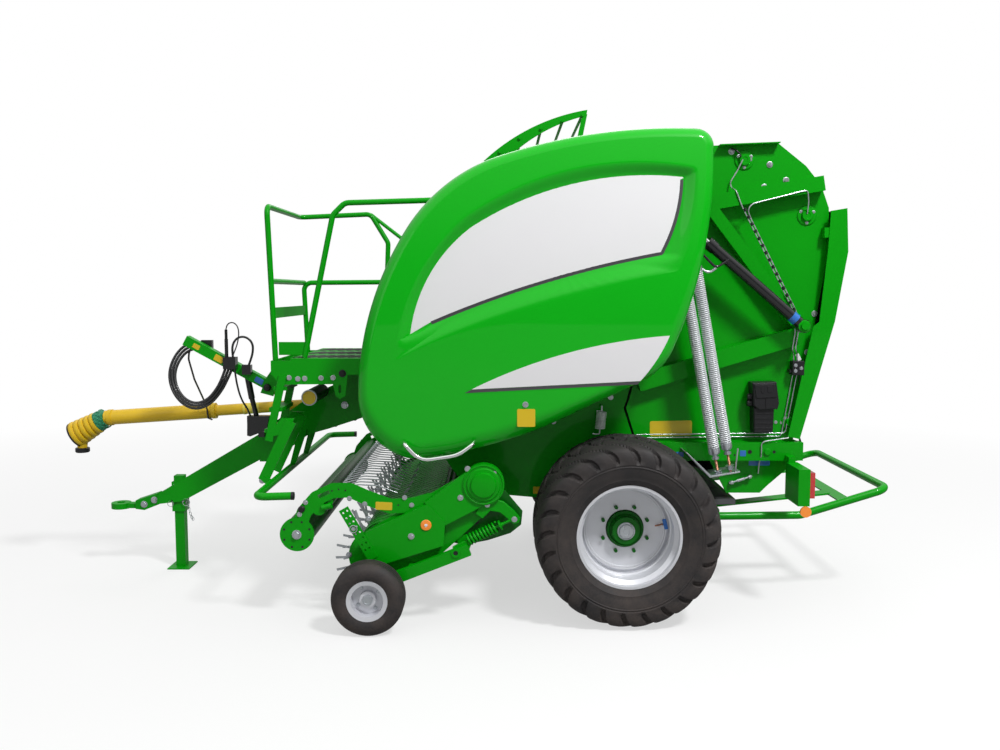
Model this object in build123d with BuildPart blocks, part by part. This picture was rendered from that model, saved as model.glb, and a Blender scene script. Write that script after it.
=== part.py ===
"""A towed round baler: chassis, drawbar and shaft, pickup, tailgate, gull-wing side covers and wheels.

X runs rearwards, Y to the machine's right-hand side and Z up, in millimetres. The origin is on the ground,
midway between the drive shaft's tip and the bale ramp's rear bar, on the centre plane.
"""

from build123d import *
import math
import os

os.makedirs("parts", exist_ok=True)

# ---------------------------------------------------------------- driving dimensions
half_length = 2690.0  # from the origin to the shaft's tip and to the ramp's rear bar
side_out = 640.0  # outer face of the chassis and tailgate side plates
side_plate = 12.0  # their thickness
side_in = side_out - side_plate
fit_gap = 0.3  # between a round piece and its seat
hinge_pin = 15.0  # radius of hinge pins
hinge_gap = 0.06  # radial play of a pin in its eye
swing_gap = 6.0  # between a moving piece and its neighbour

wheel_x = 993.0  # main wheels
axle_top = 590.0  # top of the axle beam, which carries the side plates
tyre_radius = 530.0
tyre_width = 560.0
wheel_y = 1000.0
flange_radius = 298.0
bead_radius = 290.0
rim_half = 240.0
disc_offset = 27.0  # wheel disc's outer face, outboard of the wheel's centre plane
disc_plate = 14.0
stud_circle = 275.0
stud_count = 8
stub_radius = 38.0

gauge_x = -461.0  # pickup gauge wheels
gauge_radius = 203.0
gauge_width = 165.0
gauge_y = 1277.5
gauge_rim = 114.0

hinge_x = 1465.0  # tailgate hinge
hinge_z = 2690.0
tailgate_swing = 60.0  # degrees of the open tailgate
cylinder_y = 800.0
barrel_radius = 34.0
rod_radius = 17.0

rotor_x = 177.0  # feed rotor, about which the pickup lifts too
rotor_z = 810.0
reel_x = -450.0  # pickup reel
reel_z = 385.0
tine_radius = 262.0
pickup_in = 1075.0  # inner face of the pickup's side plates
pickup_plate = 10.0
pickup_out = pickup_in + pickup_plate

cover_in = 705.0  # side covers
cover_out = 1150.0
cover_skin = 5.0
cover_hinge_z = 2745.0

SIDES = ((-1, "left"), (1, "right"))


# ---------------------------------------------------------------- shapes made in the part under way
def slab(outline, y_a, y_b, bend=0.0, mode=Mode.ADD):
    """Extrudes an outline of (x, z) points between two places in y, with its corners rounded."""
    low, high = sorted((y_a, y_b))
    with BuildSketch(Plane.XZ.offset(-high)) as face:
        with BuildLine():
            Polyline(*outline, close=True)
        make_face()
        if bend:
            fillet(face.vertices(), bend)
    extrude(face.sketch, amount=high - low, dir=(0, -1, 0), mode=mode)


def block(x, y, z, mode=Mode.ADD):
    """A box from its (low, high) pairs in x, y and z."""
    centre = [(pair[0] + pair[1]) / 2 for pair in (x, y, z)]
    with Locations(tuple(centre)):
        Box(x[1] - x[0], y[1] - y[0], z[1] - z[0], mode=mode)


def disc(x, z, radius, y_a, y_b, mode=Mode.ADD):
    """A round piece along Y."""
    with Locations(Location((x, (y_a + y_b) / 2, z), (90, 0, 0))):
        Cylinder(radius, abs(y_b - y_a), mode=mode)


def stick(start, end, radius, end_radius=None, mode=Mode.ADD):
    """A round bar, or a cone, from one point to another."""
    start, end = Vector(*start), Vector(*end)
    with Locations(Plane(origin=start, z_dir=end - start)):
        if end_radius is None:
            Cylinder(radius, (end - start).length, align=(Align.CENTER, Align.CENTER, Align.MIN), mode=mode)
        else:
            Cone(
                radius,
                end_radius,
                (end - start).length,
                align=(Align.CENTER, Align.CENTER, Align.MIN),
                mode=mode,
            )


def beam(start, end, depth, y_a, y_b, mode=Mode.ADD):
    """A straight bar between two (x, z) points, as deep as given, between two places in y."""
    along = Vector(end[0] - start[0], end[1] - start[1]).normalized()
    dx, dz = -along.Y * depth / 2, along.X * depth / 2
    slab(
        [
            (start[0] + dx, start[1] + dz),
            (end[0] + dx, end[1] + dz),
            (end[0] - dx, end[1] - dz),
            (start[0] - dx, start[1] - dz),
        ],
        y_a,
        y_b,
        mode=mode,
    )


def pipe(points, bend, radius):
    """A round tube along straight runs with bends of one radius, or of a list of radii."""
    with BuildLine() as path:
        FilletPolyline(*points, radius=bend)
    with BuildSketch(Plane(origin=path.line @ 0, z_dir=path.line % 0)) as ring:
        Circle(radius)
    sweep(ring.sketch, path=path.line)


def finish(builder, name):
    """Labels a finished piece and writes it."""
    builder.part.label = name
    export_step(builder.part, f"parts/{name}.step")


# ---------------------------------------------------------------- chassis
hinge_sweep = 60.0  # the tailgate plate's round corner about its hinge
# Rear edge of the chassis plates and front edge of the tailgate plates, as (x, z) of the chassis edge.
split = [(1392, 2735), (1392, 2640), (1052, 1250), (1030, 1184), (1090, 998), (1090, 870)]
front_x = -490.0  # front edge of the side plates
chassis_outline = [
    (front_x, 1050),
    (front_x, 1500),
    (-330, 2000),
    (-60, 2340),
    (350, 2580),
    (900, 2680),
    *split,
    (1090, 640),
    (1060, axle_top),
    (905, axle_top),
    (560, 620),
    (100, 660),
    (20, 740),
    (-110, 930),
]
axle_half = 60.0  # half the axle beam's height and depth
hinge_bar = (1300.0, 1385.0, 2590.0, 2675.0)  # cross bar that carries the tailgate hinges: x, x, z, z
pin_x, pin_z = 1330.0, 2325.0  # chassis pin of the tailgate cylinders
ear_out = side_in - 4.0
eye_half = 30.0  # half the width of a cylinder's eye
stub_tube = 40.0
ramp_x, ramp_z = 1608.0, 513.0  # hinge of the bale ramp
ramp_tube = 24.0
ramp_hinge = 27.0  # radius of the ramp's hinge tube
sill_z = 611.0  # underside of the sill plate above that hinge
rotor_journal = 30.0
cover_hinge_y = 698.0
cover_pin = 5.0
cover_lugs = (740.0, 1260.0)  # front faces of the cover hinges' chassis lugs
lug = 16.0

with BuildPart() as chassis_frame:
    for side, _ in SIDES:
        slab(chassis_outline, side * side_in, side * side_out)
    # cross members between the side plates: low x, high x, low z, high z
    for x0, x1, z0, z1 in (
        (front_x, -360, 1090, 1270),
        (hinge_bar[0], hinge_bar[1], hinge_bar[2], hinge_bar[3]),
        (560, 660, 640, 720),
        (940, 1046, 600, 700),
        (-300, -220, 1900, 1980),
    ):
        block((x0, x1), (-side_in, side_in), (z0, z1))
    for side, _ in SIDES:
        slab(
            [(1320, 2600), (1430, 2620), (hinge_x + 20, 2655), (hinge_x + 34, hinge_z), (hinge_x, hinge_z + 34), (1320, 2674)],
            side * (ear_out - 30),
            side * ear_out,
        )
        disc(hinge_x, hinge_z, hinge_pin + hinge_gap, side * (ear_out - 40), side * (ear_out + 5), mode=Mode.SUBTRACT)
        # bracket of the tailgate cylinder's rod eye
        slab(
            [(1190, 2230), (1300, 2270), (1365, 2300), (1365, 2350), (1300, 2400), (1190, 2400)],
            side * side_out,
            side * (side_out + 30),
        )
        disc(pin_x, pin_z, 30, side * (side_out + 30), side * (cylinder_y - eye_half - fit_gap))
        # stub tube that the pickup swings on
        disc(rotor_x, rotor_z, stub_tube, side * side_out, side * (pickup_out + 15))
        # rails that carry the bale ramp, and the eyes of its hinge
        block((960, 1480), sorted((side * 540, side * 580)), (axle_top + 1, 640))
        slab(
            [
                (1480, axle_top + 1),
                (1480, sill_z - fit_gap),
                (1590, sill_z - fit_gap),
                (ramp_x + 40, ramp_z + 20),
                (ramp_x + 40, ramp_z - 26),
                (ramp_x - 20, ramp_z - 38),
            ],
            side * 540,
            side * 580,
        )
        disc(ramp_x, ramp_z, ramp_hinge + hinge_gap, side * 535, side * 585, mode=Mode.SUBTRACT)
        disc(rotor_x, rotor_z, rotor_journal, side * (side_in - 50), side * side_in)
        # lugs and pins of the side cover's hinges
        for x in cover_lugs:
            block((x, x + lug), sorted((side * side_out, side * (cover_hinge_y + 6))), (2600, cover_hinge_z + 8))
            stick((x + 1, side * cover_hinge_y, cover_hinge_z), (x + 50, side * cover_hinge_y, cover_hinge_z), cover_pin)
        # lug that holds the upper hand rail's rear end
        slab([(-200, 2150), (-90, 2290), (-110, 2462), (-170, 2462)], side * side_in, side * side_out)
finish(chassis_frame, "chassis_frame")

sheet = 4.0
# outer face of the front hood and roof between the side plates, as (x, z)
hood_edge = [(front_x, 1280), (front_x, 1500), (-330, 2000), (-60, 2340), (350, 2580), (900, 2680), (1290, 2720)]
with BuildPart() as front_hood:
    slab(hood_edge + [(x + sheet, z - sheet) for x, z in hood_edge[::-1]], -side_in, side_in)
finish(front_hood, "front_hood")

with BuildPart() as axle:
    block(
        (wheel_x - axle_half, wheel_x + axle_half),
        (-(side_out + 40), side_out + 40),
        (axle_top - 2 * axle_half, axle_top),
    )
    for side, _ in SIDES:
        disc(wheel_x, tyre_radius, stub_radius, side * (side_out + 39), side * (wheel_y + 20))
finish(axle, "axle")

with BuildPart() as ramp_plate:
    block((1485, 1727), (-655, 655), (sill_z, sill_z + 8))
    for side, _ in SIDES:
        block((1485, 1727), sorted((side * 650, side * 655)), (sill_z - 26, sill_z))
    block((1722, 1727), (-655, 655), (sill_z - 26, sill_z))
finish(ramp_plate, "ramp_plate")

# ---------------------------------------------------------------- drawbar, hitch and jack
hitch_z = 430.0
bar_half = 60.0  # half the width of the drawbar's front beam
fork_out = 200.0  # outer face of its rear fork
fork_plate = 20.0
gearbox_foot = -820.0  # rear edge of the gearbox's foot and of the plate under it
jack_x = -1935.0
post_half = 32.0
sleeve_gap = fit_gap
with BuildPart() as drawbar:
    slab(
        [(-2080, 448), (-2070, 520), (-1330, 955), (-1290, 955), (-1290, 790), (-1330, 775), (-1900, 470)],
        -bar_half,
        bar_half,
    )
    slab([(-2230, 412), (-2230, 470), (-2080, 520), (-2060, 448), (-2170, 404)], -45, 45)
    block((-1330, -1270), (-fork_out, fork_out), (770, 960))
    for side, _ in SIDES:
        slab(
            [
                (-1330, 770),
                (-1330, 960),
                (-1000, 1200),
                (-800, 1290),
                (front_x, 1290),
                (front_x, 1110),
                (-650, 1062),
                (-870, 990),
                (-1000, 954),
                (-1100, 880),
            ],
            side * (fork_out - fork_plate),
            side * fork_out,
        )
    block((-930, gearbox_foot), (-(fork_out - fork_plate), fork_out - fork_plate), (1000, 1020))
    sleeve = post_half + 12
    block((jack_x - sleeve, jack_x + sleeve), (-sleeve, sleeve), (395, 600))
    opening = post_half + sleeve_gap
    block((jack_x - opening, jack_x + opening), (-opening, opening), (300, 800), mode=Mode.SUBTRACT)
finish(drawbar, "drawbar")

with BuildPart() as hitch_eye:
    with Locations((-2345, 0, hitch_z)):
        Cylinder(65, 38)
        Cylinder(27, 60, mode=Mode.SUBTRACT)
    block((-2290, -2230), (-32, 32), (hitch_z - 16, hitch_z + 16))
finish(hitch_eye, "hitch_eye")

with BuildPart() as jack_leg:
    block((jack_x - post_half, jack_x + post_half), (-post_half, post_half), (8, 640))
    block((jack_x - 75, jack_x + 75), (-90, 90), (0, 8))
finish(jack_leg, "jack_leg")

# ---------------------------------------------------------------- gearbox and drive shaft
shaft_front = (-2430, 0, 1037)
shaft_mid = (-1700, 0, 1085)
shaft_rear = (-1010, 0, 1131)
with BuildPart() as gearbox:
    block((-930, -700), (-110, 110), (1032, 1230))
    block((-930, gearbox_foot), (-110, 110), (1020, 1032))
    stick(shaft_rear, (-930, 0, 1131), 45)
finish(gearbox, "gearbox")

with BuildPart() as shaft_guard:
    stick(shaft_front, shaft_mid, 50)
    stick(shaft_mid, (-990, 0, 1132.3), 37)
    block((shaft_rear[0] - fit_gap, -900), (-60, 60), (1050, 1200), mode=Mode.SUBTRACT)
finish(shaft_guard, "shaft_guard")

bell_axis = Vector(-0.87, 0, -0.49).normalized()
collar_start = Vector(-2430.3, 0, 1037)
collar_end = collar_start + bell_axis * 60
bell_rings = 5
bell_ring = 37.248
bell_end = collar_end + bell_axis * bell_ring * bell_rings
with BuildPart() as shaft_collar:
    stick(collar_start, collar_end, 62, 66)
    block((-2430.3, -2380), (-80, 80), (900, 1180), mode=Mode.SUBTRACT)
finish(shaft_collar, "shaft_collar")

with BuildPart() as shaft_bell:
    for ring in range(bell_rings):
        start = collar_end + bell_axis * (bell_ring * ring + 0.2 * (ring == 0))
        stick(start, collar_end + bell_axis * bell_ring * (ring + 1), 68 + 4 * ring, 76 + 4 * ring)
    stick(bell_end - bell_axis * 60, bell_end + bell_axis, 78, mode=Mode.SUBTRACT)
finish(shaft_bell, "shaft_bell")

with BuildPart() as shaft_yoke:
    stick(bell_end - bell_axis * 59.7, bell_end + bell_axis * 12, 46)
    stick(bell_end - bell_axis * 40, bell_end + bell_axis * 20, 18, mode=Mode.SUBTRACT)
finish(shaft_yoke, "shaft_yoke")

# ---------------------------------------------------------------- platform, steps and hand rails
deck_z = 1480.0  # top of the platform frame
platform_left = -700.0
platform_right = 340.0
platform_front = -1120.0
with BuildPart() as platform_frame:
    slab(
        [
            (platform_front, 1400),
            (-1065, 1335),
            (-745, 1337),
            (-729, 1265),
            (-704, 1247),
            (-670, 1265),
            (-655, 1395),
            (-560, 1395),
            (-560, deck_z),
            (platform_front, deck_z),
        ],
        platform_left,
        platform_left + 12,
    )
    # keyhole in the side plate's tab: low end, high end
    for z in (1290, 1325):
        disc(-703, z, 8, platform_left - 1, platform_left + 13, mode=Mode.SUBTRACT)
    block((-711, -695), (platform_left - 1, platform_left + 13), (1290, 1325), mode=Mode.SUBTRACT)
    block((platform_front, -560), (platform_right - 12, platform_right), (1395, deck_z))
    block((platform_front, platform_front + 12), (platform_left, platform_right), (1395, deck_z))
    block((-572, -560), (platform_left, platform_right), (1395, deck_z))
    for y in (-600.0, -200.0, 188.0):
        block((-572, front_x), (y, y + 12), (1400, 1470))
        block((platform_front, -560), (y, y + 12), (1400, 1470))
    for y in (-fork_out, fork_out - fork_plate):
        block((-760, -640), (y, y + fork_plate), (1290, 1400))
    block((-1000, -500), (platform_left, platform_right), (deck_z - 0.5, deck_z + 14))
finish(platform_frame, "platform_frame")

rail_r = 17.0
rail_y = -(side_out + rail_r + fit_gap)
post_x = -1100.0
far_y = 300.0
with BuildPart() as handrails:
    pipe([(-922, rail_y, 1498.2), (-737, rail_y, 2357), (-663, rail_y, 2429), (-125, rail_y, 2445)], 60, rail_r)
    pipe(
        [
            (post_x, rail_y, deck_z + 1),
            (-1134, rail_y, 2410),
            (-1138, far_y, 2418),
            (-640, far_y, 2440),
            (-519, far_y, 2240),
            (-530, far_y, 1965),
            (-1120, far_y, 1960),
            (post_x, far_y, deck_z + 1),
        ],
        55,
        rail_r,
    )
    stick((-1118, rail_y, 1960), (-1118, far_y, 1960), rail_r)
    block((-1120, -1105), (rail_y, far_y), (1735, 1800))
    stick((-640, far_y, 2438), (-232, far_y, 2124), 13)
finish(handrails, "handrails")

step_top = (-1047.0, 1390.0)
step_knee = (-1140.0, 990.0)
foot_top = (-1000.0, 1112.0)
foot_low = (-1176.0, 748.0)
rail_z = 742.0
guard_r = 22.0
guard_y = 1150.0
with BuildPart() as step_frame:
    for y in (platform_left - 12, platform_left + 300):
        beam(step_top, step_knee, 46, y, y + 12)
        beam(foot_top, foot_low, 64, y - 12, y)
        slab([(-1160, 1010), (-1060, 1130), (-980, 1130), (-1020, 1040)], y, y + 12)
    for share in (0.2, 0.52, 0.85):
        x = step_top[0] + (step_knee[0] - step_top[0]) * share
        z = step_top[1] + (step_knee[1] - step_top[1]) * share
        block((x - 40, x + 40), (platform_left, platform_left + 300), (z - 12, z + 12))
    slab([(-1200, 770), (-1150, 770), (-1090, 742), (-1110, 715), (-1150, 720)], platform_left - 36, platform_left - 24)
    pipe([(-905, -guard_y, 748), (-1112, -guard_y, rail_z), (-1112, guard_y, rail_z), (-905, guard_y, 748)], 60, guard_r)
    slab([(-1130, 742), (-1080, 930), (-1010, 985), (-1094, 742)], fork_out, fork_out + 12)
    slab([(-1130, 742), (-1080, 930), (-1010, 985), (-1094, 742)], -fork_out - 12, -fork_out)
finish(step_frame, "step_frame")

arm_y = -450.0
with BuildPart() as hose_arm:
    beam((-1712, 1593), (-1180, 1300), 62, arm_y - 30, arm_y + 30)
    slab([(-1240, 1262), (-1160, 1240), (-1140, 1300), (-1120, 1400), (-1120, 1470), (-1200, 1360)], arm_y - 42, arm_y - 30)
    slab([(-1240, 1262), (-1160, 1240), (-1140, 1300), (-1120, 1400), (-1120, 1470), (-1200, 1360)], arm_y + 30, arm_y + 42)
finish(hose_arm, "hose_arm")

# fittings: tie on the arm, hose end, parked coupling, holder, valve block with its grip, and the shaft's support rod
near_face = arm_y - 30.0 - fit_gap
far_face = arm_y + 30.0 + fit_gap
tie = ((-1458.0, -1380.0), (-540.0, near_face), (1415.0, 1490.0))
holder_x = -1630.0
cord_gap = fit_gap
with BuildPart() as hose_fittings:
    block(*tie)
    block((-1345, -1290), (-522, near_face), (1380, 1440))
    stick((-1443, -505, 1489), (-1443, -505, 1602), 11)
    stick((-1443, -505, 1601), (-1443, -505, 1661), 9)
    block((holder_x, -1560), (far_face, far_face + 35), (1500, 1590))
    slab(
        [(-1365, 1039), (-1367, 969), (-1347, 963), (-1241, 1004), (-1222, 1097), (-1365, 1097)],
        -360,
        -300,
    )
    stick((-1310, -330, 1090), (-1330, -360, 1214), 16)
    stick((-1330, -360, 1212), (-1350, far_face + 20, 1400), 20)
    block((-1310, -1270), (-301, -(fork_out + fit_gap)), (950, 985))
    with BuildLine() as hook:
        FilletPolyline(
            (-1682, arm_y, 1540.8),
            (-1696.5, arm_y, 1514.5),
            (-1707, -430, 1470),
            (-1717, -300, 1330),
            (-1716, -130, 1180),
            (-1714, -62, 1100),
            (-1710, -62, 1045),
            (-1706, 5, 1024),
            radius=[60, 60, 80, 80, 40, 10],
        )
    with BuildSketch(Plane(origin=hook.line @ 0, z_dir=hook.line % 0)) as round_bar:
        Circle(6)
    sweep(round_bar.sketch, path=hook.line)
finish(hose_fittings, "hose_fittings")


def cord(points, diameter, name):
    """A hose or cable through its points, each bend as large as its two runs allow."""
    places = [Vector(*point) for point in points]
    runs = [end - start for start, end in zip(places, places[1:])]
    radii = []
    for run, onward in zip(runs, runs[1:]):
        half_turn = math.radians(run.get_angle(onward)) / 2
        radii.append(0.45 * min(run.length, onward.length) / math.tan(half_turn))
    with BuildPart() as tube:
        pipe(points, radii, diameter / 2)
    print(name, "radii", [round(radius) for radius in radii], "volume", round(tube.part.volume))
    finish(tube, name)


# three hoses looped round the arm's front end, from the holder to the tie, the inner ones drawn in
loop_x, loop_z = -1610.0, 1370.0
loop_route = [
    (-1630, -405, 1575),
    (-1715, -405, 1575),
    (-1790, -425, 1505),
    (-1829, -450, 1395),
    (-1810, -470, 1285),
    (-1745, -485, 1195),
    (-1655, -495, 1155),
    (-1560, -497, 1185),
    (-1485, -496, 1270),
    (-1440, -495, 1355),
    (-1414, -495, tie[2][0] - cord_gap),
]
for number, scale in enumerate((1.0, 0.91, 0.82), start=1):
    route = [
        (loop_x + scale * (x - loop_x), y - 1.3 * (number - 1) * place, loop_z + scale * (z - loop_z))
        for place, (x, y, z) in enumerate(loop_route)
    ]
    route[0] = (holder_x - cord_gap, *route[0][1:])
    route[-1] = (*route[-1][:2], tie[2][0] - cord_gap)
    cord(route, 17, f"hose_loop_{number}")

cord(
    [
        (-1405, -500, tie[2][1] + cord_gap),
        (-1409, -501, 1532),
        (-1403, -502, 1572),
        (-1379, -503, 1606),
        (-1341, -505, 1619),
        (-1303, -505, 1606),
        (-1279, -504, 1573),
        (-1277, -503, 1532),
        (-1288, -502, 1484),
        (-1306, -501, 1440 + cord_gap),
    ],
    14,
    "hose_arch",
)
cord(
    [
        (-1443, -505, 1661 + cord_gap),
        (-1438, -508, 1685),
        (-1421, -512, 1702),
        (-1398, -516, 1707),
        (-1376, -520, 1696),
        (-1362, -523, 1673),
        (-1357, -526, 1640),
        (-1361, -527, 1602),
        (-1372, -527, 1560),
        (-1388, -526, 1523),
        (-1401, -526, tie[2][1] + cord_gap),
    ],
    8,
    "cable_loop",
)
cord(
    [
        (-1391, -518, tie[2][0] - cord_gap),
        (-1386, -514, 1355),
        (-1380, -497, 1292),
        (-1373, -463, 1230),
        (-1364, -415, 1178),
        (-1354, -368, 1140),
        (-1349, -338, 1097 + cord_gap),
    ],
    12,
    "cable_drop",
)


def hood_top(x):
    """Height of the hood's outer face at a place in x."""
    for (x0, z0), (x1, z1) in zip(hood_edge, hood_edge[1:]):
        if x0 < x1 and x0 <= x <= x1:
            return z0 + (z1 - z0) * (x - x0) / (x1 - x0)


guard_y_top = 550.0
with BuildPart() as roof_guard:
    for side, _ in SIDES:
        with BuildSketch(Plane.XZ.offset(-side * guard_y_top)) as arch:
            with BuildLine():
                ThreePointArc((170, 2690), (420, 2868), (800, 2996))
                Line((800, 2996), (795, 2962))
                ThreePointArc((795, 2962), (500, 2845), (300, 2690))
                Line((300, 2690), (170, 2690))
            make_face()
        extrude(arch.sketch, amount=8, dir=(0, -1, 0))
        # posts down to the hood: foot, top
        for (x0, x1), (x2, x3, top) in (((180, 215), (180, 215, 2700)), ((700, 735), (770, 800, 2970))):
            slab(
                [(x0, hood_top(x0) + fit_gap), (x1, hood_top(x1) + fit_gap), (x3, top), (x2, top)],
                side * guard_y_top,
                side * guard_y_top - 8,
            )
    for x, z in ((270, 2745), (390, 2828), (520, 2885), (650, 2930), (770, 2965)):
        disc(x, z, 9, -guard_y_top - 20, guard_y_top + 12)
finish(roof_guard, "roof_guard")

# ---------------------------------------------------------------- side covers
def cover_section(side, inset, depth):
    """One section of a side cover: its outline drawn in by an inset, in a plane at a depth in y."""
    with BuildSketch(Plane.XZ.offset(-side * depth)) as face:
        with BuildLine():
            ThreePointArc((-535, 1333), (-461, 1793), (-239, 2273))
            ThreePointArc((-239, 2273), (-50, 2480), (213, 2635))
            ThreePointArc((213, 2635), (700, 2762), (1360, 2806))
            ThreePointArc((1360, 2806), (1437, 2775), (1464, 2680))
            ThreePointArc((1464, 2680), (1420, 2150), (1255, 1592))
            ThreePointArc((1255, 1592), (1190, 1480), (1075, 1392))
            Line((1075, 1392), (616, 1172))
            ThreePointArc((616, 1172), (155, 1008), (-251, 943))
            ThreePointArc((-251, 943), (-444, 1060), (-535, 1333))
        make_face()
        if inset:
            offset(amount=-inset, kind=Kind.INTERSECTION, mode=Mode.REPLACE)
    return face.sketch.face()


def cover_solid(side, skin, mode=Mode.ADD):
    """The side cover's full form, smaller by its skin all round."""
    reach = cover_out - skin
    steps = ((0, cover_in), (0, reach - 110), (22, reach - 32), (58, reach))
    sections = [cover_section(side, inset + skin, depth) for inset, depth in steps]
    loft(sections, ruled=True, mode=mode)


cover_lug_tops = (2767.0, 2800.0)  # inside the cover's top skin at its two hinges
for side, tag in SIDES:
    with BuildPart() as side_cover:
        cover_solid(side, 0)
        cover_solid(side, cover_skin, mode=Mode.SUBTRACT)
        # the rear side is open, for the tailgate's cylinder and springs
        block((1045, 1600), sorted((side * (cover_in - 5), side * (cover_out - 130))), (1250, 2722), mode=Mode.SUBTRACT)
        for x, skin_z in zip(cover_lugs, cover_lug_tops):
            low, high = x + lug + fit_gap, x + 46
            stick((low, side * cover_hinge_y, cover_hinge_z), (high, side * cover_hinge_y, cover_hinge_z), 10)
            block((low, high), sorted((side * (cover_hinge_y + 2), side * (cover_in + 18))), (cover_hinge_z, skin_z))
            stick(
                (x, side * cover_hinge_y, cover_hinge_z),
                (high + 1, side * cover_hinge_y, cover_hinge_z),
                cover_pin + hinge_gap,
                mode=Mode.SUBTRACT,
            )
    finish(side_cover, f"side_cover_{tag}")

for side, tag in SIDES:
    out = side * (cover_out - 8)
    with BuildPart() as cover_handle:
        pipe(
            [
                (-290, side * 1138, 1100),
                (-290, side * 1176, 1085),
                (-215, side * 1180, 1010),
                (60, side * 1180, 1030),
                (125, side * 1176, 1095),
                (125, side * 1138, 1100),
            ],
            14,
            9,
        )
        block((-700, 700), sorted((side * 1000, side * (cover_out + fit_gap))), (900, 1300), mode=Mode.SUBTRACT)
    finish(cover_handle, f"cover_handle_{tag}")

# ---------------------------------------------------------------- tailgate
pivot = Vector(hinge_x, 0, hinge_z)
gate_pin_x, gate_pin_z = 2067.0, 1694.0
gate_front = [(x + 16, z) for x, z in split[1:]]  # front edge of the tailgate plates
gate_outline = [
    *gate_front,
    (1560, 870),
    (1673, 655),
    (1880, 655),
    (1925, 700),
    (2118, 870),
    (2118, 975),
    (2078, 990),
    (2110, 1200),
    (2190, 1700),
    (2262, 2150),
    (2255, 2400),
    (2205, 2535),
    (2110, 2650),
    (1938, 2785),
    (1500, 2768),
    (hinge_x, hinge_z + 60),
    (hinge_x - 42, hinge_z + 42),
]
gate_cover_y = 700.0  # outer face of the rear cover's side flanges
gate_sheet = 5.0
gate_cover_rear = [(2345, 2394), (2359, 2137), (2292, 1718), (2100, 1000)]
gate_cover_edge = [(2248, 2378), *gate_cover_rear, (2028, 1016), (2163, 1688), (2198, 1715), (2238, 2157)]
gate_cover_inside = [
    (2200, 2374),
    *((x - gate_sheet - 1, z - gate_sheet * (n == 0)) for n, (x, z) in enumerate(gate_cover_rear)),
    (2080, 950),
    (1900, 950),
    (2100, 1700),
]
rib = 75.0  # how far the tailgate's beams stand out from its plates
rib_out = side_out + rib
lever = (1310.0, 1445.0, 2090.0, 2112.0)
with BuildPart() as tailgate_frame:
    for side, _ in SIDES:
        slab(gate_outline, side * side_in, side * side_out)
        # beams outside the plates: start, end, depth
        for start, end, depth in (
            ((1385, 2401), (2200, 2541), 88),
            ((1108, 1345), (2060, 1628), 104),
            ((1500, 2432), (2052, 1716), 72),
            ((1096, 926), (2118, 926), 112),
        ):
            beam(start, end, depth, side * side_out, side * rib_out)
        # top flange
        slab([(1580, 2771), (1938, 2785), (1938, 2779), (1580, 2765)], side * side_out, side * (side_out + 55))
        disc(hinge_x, hinge_z, hinge_pin, side * (ear_out - 32), side * side_in)
        disc(gate_pin_x, gate_pin_z, 30, side * side_out, side * (cylinder_y - eye_half - 1))
        disc(gate_pin_x, gate_pin_z, hinge_pin, side * (cylinder_y - eye_half - 1), side * (cylinder_y + eye_half + 10))
        # brackets of the rear cover
        for x, z in ((2215, 2220), (2100, 1330)):
            block((x, x + 30), sorted((side * side_out, side * (gate_cover_y - gate_sheet))), (z, z + 60))
    # cross members between the side plates: x, z, radius
    for x, z, radius in ((1620, 2700, 40), (2180, 2470, 35), (2070, 1045, 30)):
        disc(x, z, radius, -side_in, side_in)
    # bent sheet that closes the upper rear between the side plates
    slab(
        [(1938, 2785), (2110, 2650), (2205, 2535), (2255, 2400), (2251, 2400), (2201, 2533), (2107, 2647), (1936, 2781)],
        -side_in,
        side_in,
    )
finish(tailgate_frame, "tailgate_frame")

with BuildPart() as tailgate_cover:
    slab(gate_cover_edge, -gate_cover_y, gate_cover_y)
    slab(gate_cover_inside, -(gate_cover_y - gate_sheet), gate_cover_y - gate_sheet, mode=Mode.SUBTRACT)
finish(tailgate_cover, "tailgate_cover")

roller_r = 60.0
rollers = ((1690, 2560), (2130, 2370), (2000, 1180), (1780, 780), (1230, 960), (1210, 1330))
with BuildPart() as tailgate_rollers:
    for x, z in rollers:
        disc(x, z, roller_r, -(side_in - 2), side_in - 2)
        disc(x, z, 22, -side_in, side_in)
finish(tailgate_rollers, "tailgate_rollers")

belt = 8.0
belt_count = 5
belt_width = 210.0
belt_pitch = 244.0
belt_wrap = [(1690, 2560), (2130, 2370), (2000, 1180), (1780, 780), (1230, 960), (1210, 1330)]
with BuildPart() as bale_belts:
    for number in range(belt_count):
        middle = (number - (belt_count - 1) / 2) * belt_pitch
        with BuildSketch(Plane.XZ.offset(-(middle + belt_width / 2))) as loop:
            with BuildLine():
                Polyline(*belt_wrap, close=True)
            make_face()
            offset(amount=roller_r + fit_gap + belt, kind=Kind.ARC, mode=Mode.REPLACE)
            with BuildLine():
                Polyline(*belt_wrap, close=True)
            inner = make_face(mode=Mode.PRIVATE)
            offset(inner, amount=roller_r + fit_gap, kind=Kind.ARC, mode=Mode.SUBTRACT)
        extrude(loop.sketch, amount=belt_width, dir=(0, -1, 0))
finish(bale_belts, "bale_belts")

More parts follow.
